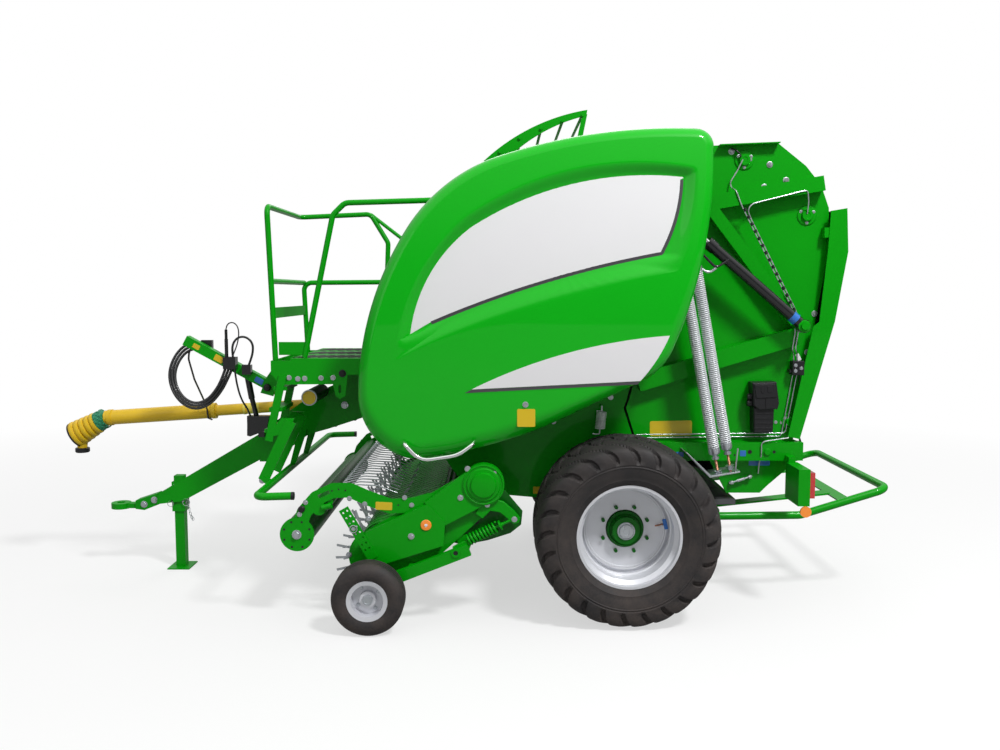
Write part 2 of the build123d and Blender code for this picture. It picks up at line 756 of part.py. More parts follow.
reach = Vector(pin_x - gate_pin_x, 0, pin_z - gate_pin_z)
reach_unit = reach.normalized()
barrel_length = 760.0
for side, tag in SIDES:
    base = Vector(gate_pin_x, side * cylinder_y, gate_pin_z)
    eye = Vector(pin_x, side * cylinder_y, pin_z)
    with BuildPart() as cylinder_barrel:
        stick(base + reach_unit * 34, base + reach_unit * barrel_length, barrel_radius)
        stick(base + reach_unit * (barrel_length - 60), base + reach_unit * barrel_length, barrel_radius + 5)
        disc(gate_pin_x, gate_pin_z, 40, side * (cylinder_y - eye_half), side * (cylinder_y + eye_half))
        disc(
            gate_pin_x,
            gate_pin_z,
            hinge_pin + hinge_gap,
            side * (cylinder_y - eye_half - 5),
            side * (cylinder_y + eye_half + 5),
            mode=Mode.SUBTRACT,
        )
        stick(base + reach_unit * 300, base + reach_unit * (barrel_length + 5), rod_radius + hinge_gap, mode=Mode.SUBTRACT)
    finish(cylinder_barrel, f"cylinder_barrel_{tag}")
    with BuildPart() as cylinder_rod:
        stick(base + reach_unit * 310, eye - reach_unit * 30, rod_radius)
        disc(pin_x, pin_z, 36, side * (cylinder_y - eye_half), side * (cylinder_y + eye_half))
        disc(
            pin_x,
            pin_z,
            hinge_pin,
            side * (cylinder_y + eye_half),
            side * (cylinder_y + eye_half + 10),
        )
    finish(cylinder_rod, f"cylinder_rod_{tag}")

spring_y = 850.0
spring_r = 35.0
with BuildPart() as tension_springs:
    for side, _ in SIDES:
        for low, high in (((1620, 959), (1412, 2060)), ((1549, 929), (1334, 2060))):
            stick((low[0], side * spring_y, low[1]), (high[0], side * spring_y, high[1]), spring_r)
            along = Vector(high[0] - low[0], 0, high[1] - low[1]).normalized()
            top = Vector(high[0], side * spring_y, high[1])
            stick(top, top + along * 34, 12)
            base = Vector(low[0], side * spring_y, low[1])
            stick(base, base - along * 134, 9)
        # lever above the springs and strap below them
        block((lever[0], lever[1]), sorted((side * side_out, side * 890)), (lever[2], lever[3]))
        slab([(1368, 950), (1376, 950), (1520, 812), (1690, 840), (1690, 832), (1512, 800)], side * rib_out, side * 895)
finish(tension_springs, "tension_springs")

with BuildPart() as oiler_box:
    slab([(1790, 1350), (1935, 1355), (1955, 1225), (1930, 1215), (1925, 1045), (1810, 1042), (1800, 1210)], -side_out, -side_out - 115)
finish(oiler_box, "oiler_box")

pipe_y = -(side_out + 9)
with BuildPart() as grease_pipes:
    for shift in (0.0, 22.0):
        y = pipe_y - shift / 2
        pipe(
            [
                (1110, y, 1000 + shift),
                (2000 + shift, y, 1010 + shift),
                (2065 + shift, y, 1410),
            ],
            25,
            4,
        )
    block((2050, 2110), (-side_out - 50, -side_out), (1400, 1470))
finish(grease_pipes, "grease_pipes")

lamp_in, lamp_out = 760.0, 1010.0
with BuildPart() as lamp_brackets:
    for side, _ in SIDES:
        near, far = sorted((side * lamp_in, side * lamp_out))
        block((2000, 2068), (near, far), (862, 870))
        block((2000, 2008), (near, far), (655, 870))
        block((2000, 2068), sorted((side * lamp_out, side * (lamp_out - 6))), (655, 870))
        block((2008, 2050), sorted((side * rib_out, side * lamp_in)), (870, 905))
        block((2008, 2050), sorted((side * lamp_in, side * (lamp_in + 30))), (870, 905))
finish(lamp_brackets, "lamp_brackets")

with BuildPart() as lamps:
    for side, _ in SIDES:
        block((2008, 2098), sorted((side * (lamp_in + 20), side * (lamp_out - 6 - fit_gap))), (700, 850))
finish(lamps, "lamps")

with BuildPart() as side_reflectors:
    for side, _ in SIDES:
        disc(2045, 622.6, 32, side * (lamp_out - 6), side * (lamp_out + 8))
        block((2041, 2049), sorted((side * (lamp_out - 6), side * lamp_out)), (650, 655))
finish(side_reflectors, "side_reflectors")

# ---------------------------------------------------------------- bale ramp
ramp_y = 660.0
ramp_knee = (2128.0, 519.0)
ramp_rear = (half_length - ramp_tube, 686.0)
# ends of the flat bar across the ramp, as places between its knee and its rear bar
cross_low, cross_high = (
    tuple(knee + share * (rear - knee) for knee, rear in zip(ramp_knee, ramp_rear)) for share in (0.47, 0.58)
)
with BuildPart() as bale_ramp:
    pipe(
        [
            (ramp_x, -ramp_y, ramp_z),
            (ramp_knee[0], -ramp_y, ramp_knee[1]),
            (ramp_rear[0], -ramp_y, ramp_rear[1]),
            (ramp_rear[0], ramp_y, ramp_rear[1]),
            (ramp_knee[0], ramp_y, ramp_knee[1]),
            (ramp_x, ramp_y, ramp_z),
        ],
        [120, 75, 75, 120],
        ramp_tube,
    )
    disc(ramp_x, ramp_z, ramp_hinge, -ramp_y - ramp_tube - 3, ramp_y + ramp_tube + 3)
    for side, _ in SIDES:
        beam((ramp_x + 20, ramp_z + 5), (cross_low[0] + 15, cross_low[1] + 5), 12, side * 330, side * 430)
    beam(cross_low, cross_high, 12, -ramp_y, ramp_y)
finish(bale_ramp, "bale_ramp")

# ---------------------------------------------------------------- pickup
reel_disc = 150.0  # radius of the side plates' round end
s_arm_y = pickup_out + 3.0  # crop guard arms
s_arm = 10.0
drive_y = s_arm_y + s_arm + 2.0  # inner face of the drive guards
drive_out = drive_y + 45.0
crop_x, crop_z = -893.0, 512.0  # front crop roller
rear_crop_x, rear_crop_z = -765.0, 665.0
guard_x, guard_z = -135.0, 708.0  # pivot of the crop guard
lift_eye = stub_tube + hinge_gap
journal = 22.0
strut_top, strut_low = (-616.0, 674.0), (-450.0, 385.0)
strut_across = (0.867, 0.498)  # unit vector across the strut
strut_holes = 8
with BuildPart() as pickup_frame:
    for side, _ in SIDES:
        slab(
            [(-560, 480), (-500, 530), (100, 880), (250, 880), (275, 780), (200, 640), (-60, 400), (-380, 240), (-560, 290)],
            side * pickup_in,
            side * pickup_out,
        )
        disc(reel_x, reel_z, reel_disc, side * pickup_in, side * pickup_out)
        disc(reel_x, reel_z, journal, side * (pickup_in - 45), side * pickup_in)
        # drive guards outside the plates, on spacers
        disc(rotor_x, rotor_z, 118, side * pickup_out, side * drive_out)
        slab([(90, 890), (-157, 705), (-40, 575), (270, 738)], side * drive_y, side * (drive_out - 8))
        slab([(-470, 500), (-200, 605), (-80, 560), (-66, 470), (-414, 352), (-480, 400)], side * pickup_out, side * drive_y)
        slab([(-494, 533), (-140, 700), (-40, 600), (-52, 459), (-414, 345), (-500, 400)], side * drive_y, side * drive_out)
        disc(rotor_x, rotor_z, 72, side * drive_out, side * (drive_out + 12))
        disc(rotor_x, rotor_z, lift_eye, side * (pickup_in - 5), side * (pickup_out + 20), mode=Mode.SUBTRACT)
        disc(guard_x, guard_z, hinge_pin, side * pickup_out, side * drive_y)
        # gauge wheel arm, its stub axle and the adjusting plate
        beam((95, 445), (-330, 278), 66, side * (drive_out + 2), side * (drive_out + 42))
        block((-250, -190), sorted((side * pickup_out, side * (drive_out + 2))), (318, 345))
        beam((-260, 306), (gauge_x, gauge_radius), 50, side * (drive_out + 24), side * (drive_out + 42))
        disc(gauge_x, gauge_radius, 14, side * (drive_out + 24), side * (gauge_y + 30))
        beam(strut_top, strut_low, 58, side * drive_out, side * (drive_out + 8))
        for number in range(strut_holes):
            share = (number + 0.6) / (strut_holes + 1.5)
            x, z = (high + share * (low - high) for high, low in zip(strut_top, strut_low))
            for shift in (-13, 13):
                hole_x, hole_z = x + shift * strut_across[0], z + shift * strut_across[1]
                disc(hole_x, hole_z, 6, side * (drive_out - 1), side * (drive_out + 9), mode=Mode.SUBTRACT)
    # cross members: x, z, radius
    for x, z, radius in ((-60, 560, 45), (60, 470, 35)):
        disc(x, z, radius, -pickup_in, pickup_in)
finish(pickup_frame, "pickup_frame")

reel_tube = 70.0
star_count = 27
star_pitch = 76.0
star_tines = 5
tine_sheet = 6.0
# outline of one swept-back tine: distance out from the axis and angle from its root's middle
tine_shape = ((60, 0.12), (150, 0.02), (tine_radius, -0.16), (tine_radius, -0.21), (150, -0.07), (60, -0.16))
with BuildPart(mode=Mode.PRIVATE) as tine_star:
    with BuildSketch(Plane.XZ.offset(-tine_sheet / 2)) as star:
        with Locations((reel_x, reel_z)):
            Circle(reel_tube + 4)
        for tine in range(star_tines):
            turn = math.radians(tine * 360 / star_tines)
            with BuildLine():
                Polyline(
                    *[(reel_x + r * math.cos(turn + a), reel_z + r * math.sin(turn + a)) for r, a in tine_shape],
                    close=True,
                )
            make_face()
    extrude(amount=tine_sheet, dir=(0, -1, 0))
with BuildPart() as pickup_reel:
    disc(reel_x, reel_z, reel_tube, -(pickup_in - 22), pickup_in - 22)
    add([
        tine_star.part.rotate(Axis((reel_x, 0, reel_z), (0, 1, 0)), 12 * (number % 3)).moved(
            Location((0, (number - (star_count - 1) / 2) * star_pitch, 0))
        )
        for number in range(star_count)
    ])
    for side, _ in SIDES:
        disc(reel_x, reel_z, journal + hinge_gap, side * (pickup_in - 50), side * (pickup_in - 20), mode=Mode.SUBTRACT)
finish(pickup_reel, "pickup_reel")

band_half = 29.0
band_beam_y = pickup_in - 30.0
with BuildPart(mode=Mode.PRIVATE) as band:
    with BuildSketch(Plane.XZ.offset(-band_half)) as strip:
        with BuildLine():
            ThreePointArc((-300, 240), (-560, 360), (-420, 560))
            Line((-420, 560), (-80, 684))
            Line((-80, 684), (-80, 679))
            Line((-80, 679), (-419, 555))
            ThreePointArc((-419, 555), (-555, 361), (-300, 245))
            Line((-300, 245), (-300, 240))
        make_face()
    extrude(amount=2 * band_half, dir=(0, -1, 0))
with BuildPart() as pickup_bands:
    block((-110, -70), (-band_beam_y, band_beam_y), (640, 675))
    for side, _ in SIDES:
        block((-100, -80), sorted((side * band_beam_y, side * pickup_in)), (645, 670))
    add([
        band.part.moved(Location((0, (number - (star_count - 2) / 2) * star_pitch, 0)))
        for number in range(star_count - 1)
    ])
finish(pickup_bands, "pickup_bands")

# crop guard: S-shaped arms that swing on the pickup, front and rear rollers and guide rods
s_curve = ((crop_x, crop_z), (-850, 640), (-779, 722), (-682, 768), (-585, 768), (-482, 722), (-357, 676), (-235, 682),
           (guard_x, guard_z))
roller_end = s_arm_y - 3.0
with BuildPart() as crop_guard:
    for side, _ in SIDES:
        arm_in, arm_out = side * s_arm_y, side * (s_arm_y + s_arm)
        for start, end in zip(s_curve, s_curve[1:]):
            beam(start, end, 84, arm_in, arm_out)
            disc(end[0], end[1], 42, arm_in, arm_out)
        disc(crop_x, crop_z, 98, arm_in, arm_out)
        disc(rear_crop_x, rear_crop_z, 40, arm_in, arm_out)
        disc(guard_x, guard_z, hinge_pin + hinge_gap, side * (s_arm_y - 1), side * (s_arm_y + s_arm + 1), mode=Mode.SUBTRACT)
        beam((-768, 730), (-702, 760), 22, side * (s_arm_y - 1), side * (s_arm_y + s_arm + 1), mode=Mode.SUBTRACT)
        for x, z in ((crop_x, crop_z), (rear_crop_x, rear_crop_z)):
            disc(x, z, 18, side * (roller_end - 20), side * s_arm_y)
    disc(-700, 700, 16, -s_arm_y, s_arm_y)
finish(crop_guard, "crop_guard")

with BuildPart() as crop_rollers:
    for x, z, radius in ((crop_x, crop_z, 88), (rear_crop_x, rear_crop_z, 48)):
        disc(x, z, radius, -roller_end, roller_end)
        for side, _ in SIDES:
            disc(x, z, 18.1, side * (roller_end - 20), side * roller_end, mode=Mode.SUBTRACT)
finish(crop_rollers, "crop_rollers")

rod_count = 24
rod_pitch = 84.0
with BuildPart() as guide_rods:
    for number in range(rod_count):
        y = (number - (rod_count - 1) / 2) * rod_pitch
        pipe([(-700, y, 722), (-660, y, 752), (-560, y, 775), (-440, y, 768), (-330, y, 725)], [50, 90, 90], 4)
        block((-706, -694), (y - 5, y + 5), (716.3, 726))
finish(guide_rods, "guide_rods")

# ---------------------------------------------------------------- feed rotor between the chassis plates
with BuildPart() as feed_rotor:
    disc(rotor_x, rotor_z, 90, -(side_in - 12), side_in - 12)
    plates = []
    for number in range(12):
        with BuildPart(mode=Mode.PRIVATE) as rotor_plate:
            with BuildSketch(Plane.XZ.offset(-(number - 5.5) * 100.0 - 5)) as star:
                with Locations((rotor_x, rotor_z)):
                    RegularPolygon(200, 3, rotation=20 * (number % 6))
            extrude(amount=10, dir=(0, -1, 0))
        plates.append(rotor_plate.part)
    add(plates)
    for side, _ in SIDES:
        disc(rotor_x, rotor_z, rotor_journal + hinge_gap, side * (side_in - 55), side * (side_in - 11), mode=Mode.SUBTRACT)
finish(feed_rotor, "feed_rotor")

# ---------------------------------------------------------------- wheels
def wheel_plane(x, z):
    """A sketch plane through a wheel's axis: X is the distance from the axis, Y lies along it."""
    return Plane(origin=(x, 0, z), x_dir=(1, 0, 0), z_dir=(0, 0, 1))


def turned(outline, x, z, middle, mode=Mode.ADD):
    """Revolves (radius, y) points, measured from a wheel's centre plane, about the wheel's axis."""
    with BuildSketch(wheel_plane(x, z)) as face:
        with BuildLine():
            Polyline(*[(r, middle + y) for r, y in outline], close=True)
        make_face()
    revolve(face.sketch, axis=Axis((x, middle, z), (0, 1, 0)), mode=mode)


half = tyre_width / 2
tyre_outside = [
    (bead_radius, -228), (bead_radius + 14, -240), (340, -262), (400, -half), (455, -half + 4), (500, -266), (522, -240),
    (tyre_radius, -190), (tyre_radius, 190), (522, 240), (500, 266), (455, half - 4), (400, half), (340, 262),
    (bead_radius + 14, 240), (bead_radius, 228),
]
tyre_inside = [
    (bead_radius, -205), (330, -225), (400, -half + 28), (470, -235), (494, -190), (494, 190), (470, 235),
    (400, half - 28), (330, 225), (bead_radius, 205),
]
rim_outer = bead_radius - fit_gap
rim_profile = [
    (rim_outer, -228.5), (flange_radius - 2, -234), (flange_radius - 2, -rim_half), (rim_outer - 8, -rim_half),
    (rim_outer - 8, -200), (rim_outer - 30, -180), (rim_outer - 30, 180), (rim_outer - 8, 200), (rim_outer - 8, rim_half),
    (flange_radius - 2, rim_half), (flange_radius - 2, 234), (rim_outer, 228.5), (rim_outer, 196), (rim_outer - 22, 176),
    (rim_outer - 22, -176), (rim_outer, -196),
]
for side, tag in SIDES:
    middle = side * wheel_y
    with BuildPart() as tyre:
        turned(tyre_outside, wheel_x, tyre_radius, middle)
        turned(tyre_inside, wheel_x, tyre_radius, middle, mode=Mode.SUBTRACT)
    finish(tyre, f"tyre_{tag}")
    face_y = middle + side * disc_offset
    with BuildPart() as rim:
        turned(rim_profile, wheel_x, tyre_radius, middle)
        disc(wheel_x, tyre_radius, rim_outer - 25, face_y, face_y - side * disc_plate)
        disc(wheel_x, tyre_radius, 110.5, face_y + side, face_y - side * (disc_plate + 1), mode=Mode.SUBTRACT)
        for number in range(stud_count):
            turn = math.radians(360 / stud_count * (number + 0.5))
            x = wheel_x + stud_circle / 2 * math.cos(turn)
            z = tyre_radius + stud_circle / 2 * math.sin(turn)
            disc(x, z, 11, face_y + side, face_y - side * (disc_plate + 1), mode=Mode.SUBTRACT)
    finish(rim, f"rim_{tag}")
    with BuildPart() as hub:
        disc(wheel_x, tyre_radius, 165, face_y - side * disc_plate, face_y - side * (disc_plate + 16))
        disc(wheel_x, tyre_radius, 85, face_y - side * (disc_plate + 16), face_y - side * 160)
        disc(wheel_x, tyre_radius, 104, face_y - side * (disc_plate + 1), face_y + side * 20)
        disc(wheel_x, tyre_radius, 78, face_y + side * 20, face_y + side * 62)
        for number in range(stud_count):
            turn = math.radians(360 / stud_count * (number + 0.5))
            x = wheel_x + stud_circle / 2 * math.cos(turn)
            z = tyre_radius + stud_circle / 2 * math.sin(turn)
            disc(x, z, 10.4, face_y + side * 24, face_y - side * (disc_plate + 2))
        disc(
            wheel_x,
            tyre_radius,
            stub_radius + hinge_gap,
            face_y - side * 165,
            middle + side * 25,
            mode=Mode.SUBTRACT,
        )
    finish(hub, f"hub_{tag}")

gauge_half = gauge_width / 2
gauge_tyre = [
    (102, -62), (116, -72), (150, -gauge_half), (180, -78), (198, -60), (gauge_radius, -40), (gauge_radius, 40),
    (198, 60), (180, 78), (150, gauge_half), (116, 72), (102, 62),
]
gauge_rim_profile = [
    (10, -40), (45, -40), (45, -6), (90, -6), (90, -70), (gauge_rim, -76), (gauge_rim, -72.5), (101.7, -62), (101.7, 62),
    (gauge_rim, 72.5), (gauge_rim, 76), (90, 70), (90, 6), (45, 6), (45, 40), (10, 40),
]
for side, tag in SIDES:
    middle = side * gauge_y
    with BuildPart() as gauge_tyre_part:
        turned(gauge_tyre, gauge_x, gauge_radius, middle)
    finish(gauge_tyre_part, f"gauge_tyre_{tag}")
    with BuildPart() as gauge_rim_part:
        turned(gauge_rim_profile, gauge_x, gauge_radius, middle)
        disc(gauge_x, gauge_radius, 14 + hinge_gap, middle - side * 45, middle + side * 32, mode=Mode.SUBTRACT)
    finish(gauge_rim_part, f"gauge_rim_{tag}")
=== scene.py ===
"""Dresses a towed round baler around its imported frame: paint, rubber, covers, springs, hoses and fittings.

X runs rearwards, Y to the machine's right-hand side and Z up, in metres, with the origin on the ground.
"""

import logging
import math
from dataclasses import dataclass, field
from enum import Enum
from typing import Callable, Iterable, Sequence

import bmesh
import bpy
import numpy as np
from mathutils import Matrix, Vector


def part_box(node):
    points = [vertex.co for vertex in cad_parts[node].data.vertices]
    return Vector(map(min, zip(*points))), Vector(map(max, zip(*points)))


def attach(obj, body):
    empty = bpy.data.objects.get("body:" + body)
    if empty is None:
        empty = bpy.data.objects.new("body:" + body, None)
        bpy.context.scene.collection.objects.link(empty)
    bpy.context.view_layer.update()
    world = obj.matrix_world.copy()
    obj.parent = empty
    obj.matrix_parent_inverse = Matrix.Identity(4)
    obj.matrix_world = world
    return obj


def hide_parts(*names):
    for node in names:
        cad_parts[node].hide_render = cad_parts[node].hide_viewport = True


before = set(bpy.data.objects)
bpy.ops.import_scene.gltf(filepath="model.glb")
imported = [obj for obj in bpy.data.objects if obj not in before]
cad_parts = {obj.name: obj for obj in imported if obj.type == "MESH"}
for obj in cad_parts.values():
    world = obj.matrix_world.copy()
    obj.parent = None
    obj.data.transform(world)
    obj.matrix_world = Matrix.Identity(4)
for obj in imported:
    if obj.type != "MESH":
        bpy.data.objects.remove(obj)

log = logging.getLogger("baler")

SIDES = ((-1, "left"), (1, "right"))
BOTH = (-1, 1)
ORIGIN = (0, 0, 0)
WELD = 1e-6
GROUPED = "ShaderNodeGroup"
PURE_WHITE = (1.0, 1.0, 1.0)
FLOAT, RGB, VECTOR = "NodeSocketFloat", "NodeSocketColor", "NodeSocketVector"

Point = tuple[float, float, float]
Flat = tuple[float, float]
Colour = tuple[float, float, float]
Rows = np.ndarray | Sequence[Sequence[float]]


# ---------------------------------------------------------------- meshes
@dataclass
class Surface:
    """One closed or open surface: its points, its quads as corner numbers, and caps with more corners."""

    points: np.ndarray
    quads: np.ndarray
    caps: list[np.ndarray] = field(default_factory=list)

    def moved(self, shift: Sequence[float]) -> "Surface":
        """Returns a copy moved by a shift."""
        return Surface(self.points + np.asarray(shift, float), self.quads, self.caps)

    def mapped(self, change: Callable[[np.ndarray], np.ndarray]) -> "Surface":
        """Returns a copy with its points put through a function."""
        return Surface(change(self.points), self.quads, self.caps)


def grid_quads(rows: int, columns: int, wrap_rows: bool = False, wrap_columns: bool = False) -> np.ndarray:
    """Corner numbers of the quads of a grid of points, row after row.

    Args:
        rows: Number of rows of points.
        columns: Number of points in a row.
        wrap_rows: Joins the last row to the first.
        wrap_columns: Joins the last column to the first.

    Returns:
        One row of four corner numbers for each quad.
    """
    down, along = np.meshgrid(
        np.arange(rows if wrap_rows else rows - 1),
        np.arange(columns if wrap_columns else columns - 1),
        indexing="ij",
    )
    below, beside = (down + 1) % rows, (along + 1) % columns
    corners = [
        down * columns + along, down * columns + beside, below * columns + beside, below * columns + along,
    ]
    return np.stack(corners, axis=-1).reshape(-1, 4)


def unit(vector: np.ndarray) -> np.ndarray:
    """Vectors scaled to a length of one."""
    return vector / np.maximum(np.linalg.norm(vector, axis=-1, keepdims=True), 1e-12)


def full_turn(count: int) -> np.ndarray:
    """Angles spread evenly over a full turn, from nought on."""
    return np.linspace(0, 2 * math.pi, count, endpoint=False)


def tube(path: Rows, radius: float | np.ndarray, sides: int = 12, closed: bool = False) -> Surface:
    """A round tube along a path: at each point a circle is laid across the path's direction.

    The circle's first direction is the cross product of the path's direction with the axis that the path
    runs least along, so the frame turns smoothly and the whole tube is one array expression.

    Args:
        path: Points of the centre line, one a row.
        radius: One radius, or one for each point.
        sides: Points round the tube.
        closed: Joins the last ring to the first.

    Returns:
        The tube, with flat ends unless it is closed.
    """
    path = np.asarray(path, float)
    if closed:
        along = unit(np.roll(path, -1, axis=0) - np.roll(path, 1, axis=0))
    else:
        along = unit(np.gradient(path, axis=0))
    least = np.eye(3)[np.argmin(np.abs(along).mean(axis=0))]
    across = unit(np.cross(along, least))
    other = np.cross(along, across)
    turn = full_turn(sides)
    width = np.broadcast_to(np.asarray(radius, float), (len(path),))[:, None, None]
    ring = across[:, None] * np.cos(turn)[None, :, None] + other[:, None] * np.sin(turn)[None, :, None]
    points = (path[:, None] + width * ring).reshape(-1, 3)
    caps = [] if closed else [np.arange(sides)[::-1], np.arange(sides) + (len(path) - 1) * sides]
    return Surface(points, grid_quads(len(path), sides, closed, True), caps)


def turned(
    profile: Rows, centre: Sequence[float], axis: int, segments: int = 48, loop: bool = False,
) -> Surface:
    """A turned piece: a profile of (radius, along) carried round an axis through a centre.

    Args:
        profile: Radius and place along the axis, one pair a row.
        centre: A point on the axis.
        axis: 0, 1 or 2 for the X, Y or Z axis.
        segments: Points round the piece.
        loop: Whether the profile closes on itself, as a ring's does.

    Returns:
        The surface. Its ends are capped where the profile is open.
    """
    profile = np.asarray(profile, float)
    turn = full_turn(segments)
    first, second = [n for n in range(3) if n != axis]
    points = np.zeros((len(profile), segments, 3))
    points[..., first] = profile[:, :1] * np.cos(turn)
    points[..., second] = profile[:, :1] * np.sin(turn)
    points[..., axis] = profile[:, 1:2]
    points += np.asarray(centre, float)
    caps = [] if loop else [np.arange(segments)[::-1], np.arange(segments) + (len(profile) - 1) * segments]
    return Surface(points.reshape(-1, 3), grid_quads(len(profile), segments, loop, True), caps)


def plate(outline: Rows, low: float, high: float, edge: float = 0.0015, axis: int = 1) -> Surface:
    """A flat plate: an outline in the plane across an axis, carried from low to high with bevelled edges.

    The bevel moves each corner along the mean of its two edge normals.

    Args:
        outline: Corners, one pair a row, in the two other axes in order.
        low: Where it starts along the axis.
        high: Where it ends along the axis.
        edge: Width of the bevel.
        axis: 0, 1 or 2 for the axis that the plate lies across.

    Returns:
        The plate's closed surface.
    """
    outline = np.asarray(outline, float)
    before, after = np.roll(outline, 1, axis=0), np.roll(outline, -1, axis=0)
    way_in, way_out = unit(outline - before), unit(after - outline)
    sign = 1.0 if np.sum(outline[:, 0] * after[:, 1] - after[:, 0] * outline[:, 1]) > 0 else -1.0
    normal_in = np.stack([-way_in[:, 1], way_in[:, 0]], axis=1)
    normal_out = np.stack([-way_out[:, 1], way_out[:, 0]], axis=1)
    mean = normal_in + normal_out
    inward = sign * edge * mean / np.maximum(1.0 + np.sum(normal_in * normal_out, axis=1), 0.3)[:, None]
    first, second = [n for n in range(3) if n != axis]
    levels = [(low, 1.0), (low + edge, 0.0), (high - edge, 0.0), (high, 1.0)]
    points = np.zeros((len(levels), len(outline), 3))
    for row, (level, share) in enumerate(levels):
        flat = outline + inward * share
        points[row, :, first], points[row, :, second], points[row, :, axis] = flat[:, 0], flat[:, 1], level
    count = len(outline)
    return Surface(
        points.reshape(-1, 3),
        grid_quads(len(levels), count, False, True),
        [np.arange(count)[::-1], np.arange(count) + (len(levels) - 1) * count],
    )


def box(x: Flat, y: Flat, z: Flat, edge: float = 0.0015) -> Surface:
    """A box between (low, high) pairs, with bevelled edges along its height's outline."""
    outline = np.array([(x[0], y[0]), (x[1], y[0]), (x[1], y[1]), (x[0], y[1])])
    return plate(outline, z[0], z[1], edge, axis=2)


def outward(side: int, inner: float, outer: float) -> Flat:
    """Two distances from the centre plane as places on one side, the lower first."""
    low, high = sorted((side * inner, side * outer))
    return low, high


def rounded(points: Sequence[Sequence[float]], radius: float, steps: int = 6) -> np.ndarray:
    """A path through points, with a quadratic curve at each inner corner.

    Args:
        points: The path's corners.
        radius: How far from a corner the curve starts, at most a half of the shorter run.
        steps: Points on each curve.

    Returns:
        The path's points, one a row.
    """
    corners = np.asarray(points, float)
    runs = np.linalg.norm(np.diff(corners, axis=0), axis=1)
    cut = np.minimum(radius, 0.5 * np.minimum(runs[:-1], runs[1:]))[:, None]
    middle = corners[1:-1]
    start = middle + unit(corners[:-2] - middle) * cut
    end = middle + unit(corners[2:] - middle) * cut
    t = np.linspace(0, 1, steps)[None, :, None]
    curve = (1 - t) ** 2 * start[:, None] + 2 * t * (1 - t) * middle[:, None] + t**2 * end[:, None]
    return np.vstack([corners[:1], curve.reshape(-1, corners.shape[1]), corners[-1:]])


def spline(points: Sequence[Sequence[float]], count: int) -> np.ndarray:
    """A smooth path through points: a cubic on each run, with slopes from the neighbouring points.

    Args:
        points: Points that the path passes through.
        count: How many points come back, evenly spread over the runs.

    Returns:
        The path's points, one a row.
    """
    knots = np.asarray(points, float)
    slopes = np.gradient(knots, axis=0)
    place = np.linspace(0, len(knots) - 1, count)
    run = np.minimum(place.astype(int), len(knots) - 2)
    t = (place - run)[:, None]
    a, b, sa, sb = knots[run], knots[run + 1], slopes[run], slopes[run + 1]
    return (2 * t**3 - 3 * t**2 + 1) * a + (t**3 - 2 * t**2 + t) * sa + (
        3 * t**2 - 2 * t**3
    ) * b + (t**3 - t**2) * sb


def make_piece(
    name: str,
    shells: Iterable[Surface],
    material: bpy.types.Material,
    body: str,
    smooth_angle: float = 35.0,
) -> bpy.types.Object:
    """Makes one object of several shells, gives it its material and lets it ride on a body.

    Args:
        name: The piece's name.
        shells: Its surfaces, in metres, in the frame of the whole.
        material: Its finish.
        body: The body that carries it.
        smooth_angle: Edges sharper than this many degrees stay sharp.

    Returns:
        The object.
    """
    shells = list(shells)
    starts = np.cumsum([0] + [len(shell.points) for shell in shells])
    points = np.vstack([shell.points for shell in shells])
    quads = np.vstack([shell.quads.reshape(-1, 4) + start for shell, start in zip(shells, starts)])
    caps = [cap + start for shell, start in zip(shells, starts) for cap in shell.caps]
    corners = np.concatenate([quads.ravel(), *caps]).astype(np.int32)
    sizes = np.concatenate([np.full(len(quads), 4), [len(cap) for cap in caps]]).astype(np.int32)
    mesh = bpy.data.meshes.new(name)
    mesh.vertices.add(len(points))
    mesh.vertices.foreach_set("co", points.astype(np.float32).ravel())
    mesh.loops.add(len(corners))
    mesh.loops.foreach_set("vertex_index", corners)
    mesh.polygons.add(len(sizes))
    mesh.polygons.foreach_set("loop_start", np.concatenate([[0], np.cumsum(sizes)[:-1]]).astype(np.int32))
    mesh.update(calc_edges=True)
    mesh.validate()
    work = bmesh.new()
    work.from_mesh(mesh)
    bmesh.ops.remove_doubles(work, verts=work.verts, dist=WELD)
    bmesh.ops.recalc_face_normals(work, faces=work.faces)
    work.to_mesh(mesh)
    work.free()
    mesh.shade_smooth()
    mesh.set_sharp_from_angle(angle=math.radians(smooth_angle))
    mesh.materials.append(material)
    piece = bpy.data.objects.new(name, mesh)
    bpy.context.scene.collection.objects.link(piece)
    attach(piece, body)
    log.info("%s: %d faces on %s", name, len(mesh.polygons), body)
    return piece


# ---------------------------------------------------------------- finishes
def add_node(
    tree: bpy.types.NodeTree, kind: str, inputs: dict | None = None, **settings: object,
) -> bpy.types.Node:
    """Adds a node, sets its properties, and sets or links its inputs.

    Args:
        tree: The tree that gets the node.
        kind: The node's type name.
        inputs: Values or output sockets, by input name or number.
        settings: Properties of the node.

    Returns:
        The node.
    """
    node = tree.nodes.new(kind)
    for name, value in settings.items():
        setattr(node, name, value)
    for key, value in (inputs or {}).items():
        if isinstance(value, bpy.types.NodeSocket):
            tree.links.new(value, node.inputs[key])
        else:
            node.inputs[key].default_value = value
    return node


def math_node(
    tree: bpy.types.NodeTree, operation: str, first: object, second: object = 0.0,
) -> bpy.types.NodeSocket:
    """Adds a Math node and returns its output."""
    return add_node(tree, "ShaderNodeMath", {0: first, 1: second}, operation=operation).outputs[0]


def ramp_node(
    tree: bpy.types.NodeTree, value: object, low: float, high: float, to_low: object = 0.0,
    to_high: object = 1.0,
) -> bpy.types.NodeSocket:
    """Adds a clamped Map Range node and returns its output."""
    inputs = {"Value": value, "From Min": low, "From Max": high, "To Min": to_low, "To Max": to_high}
    return add_node(tree, "ShaderNodeMapRange", inputs).outputs["Result"]


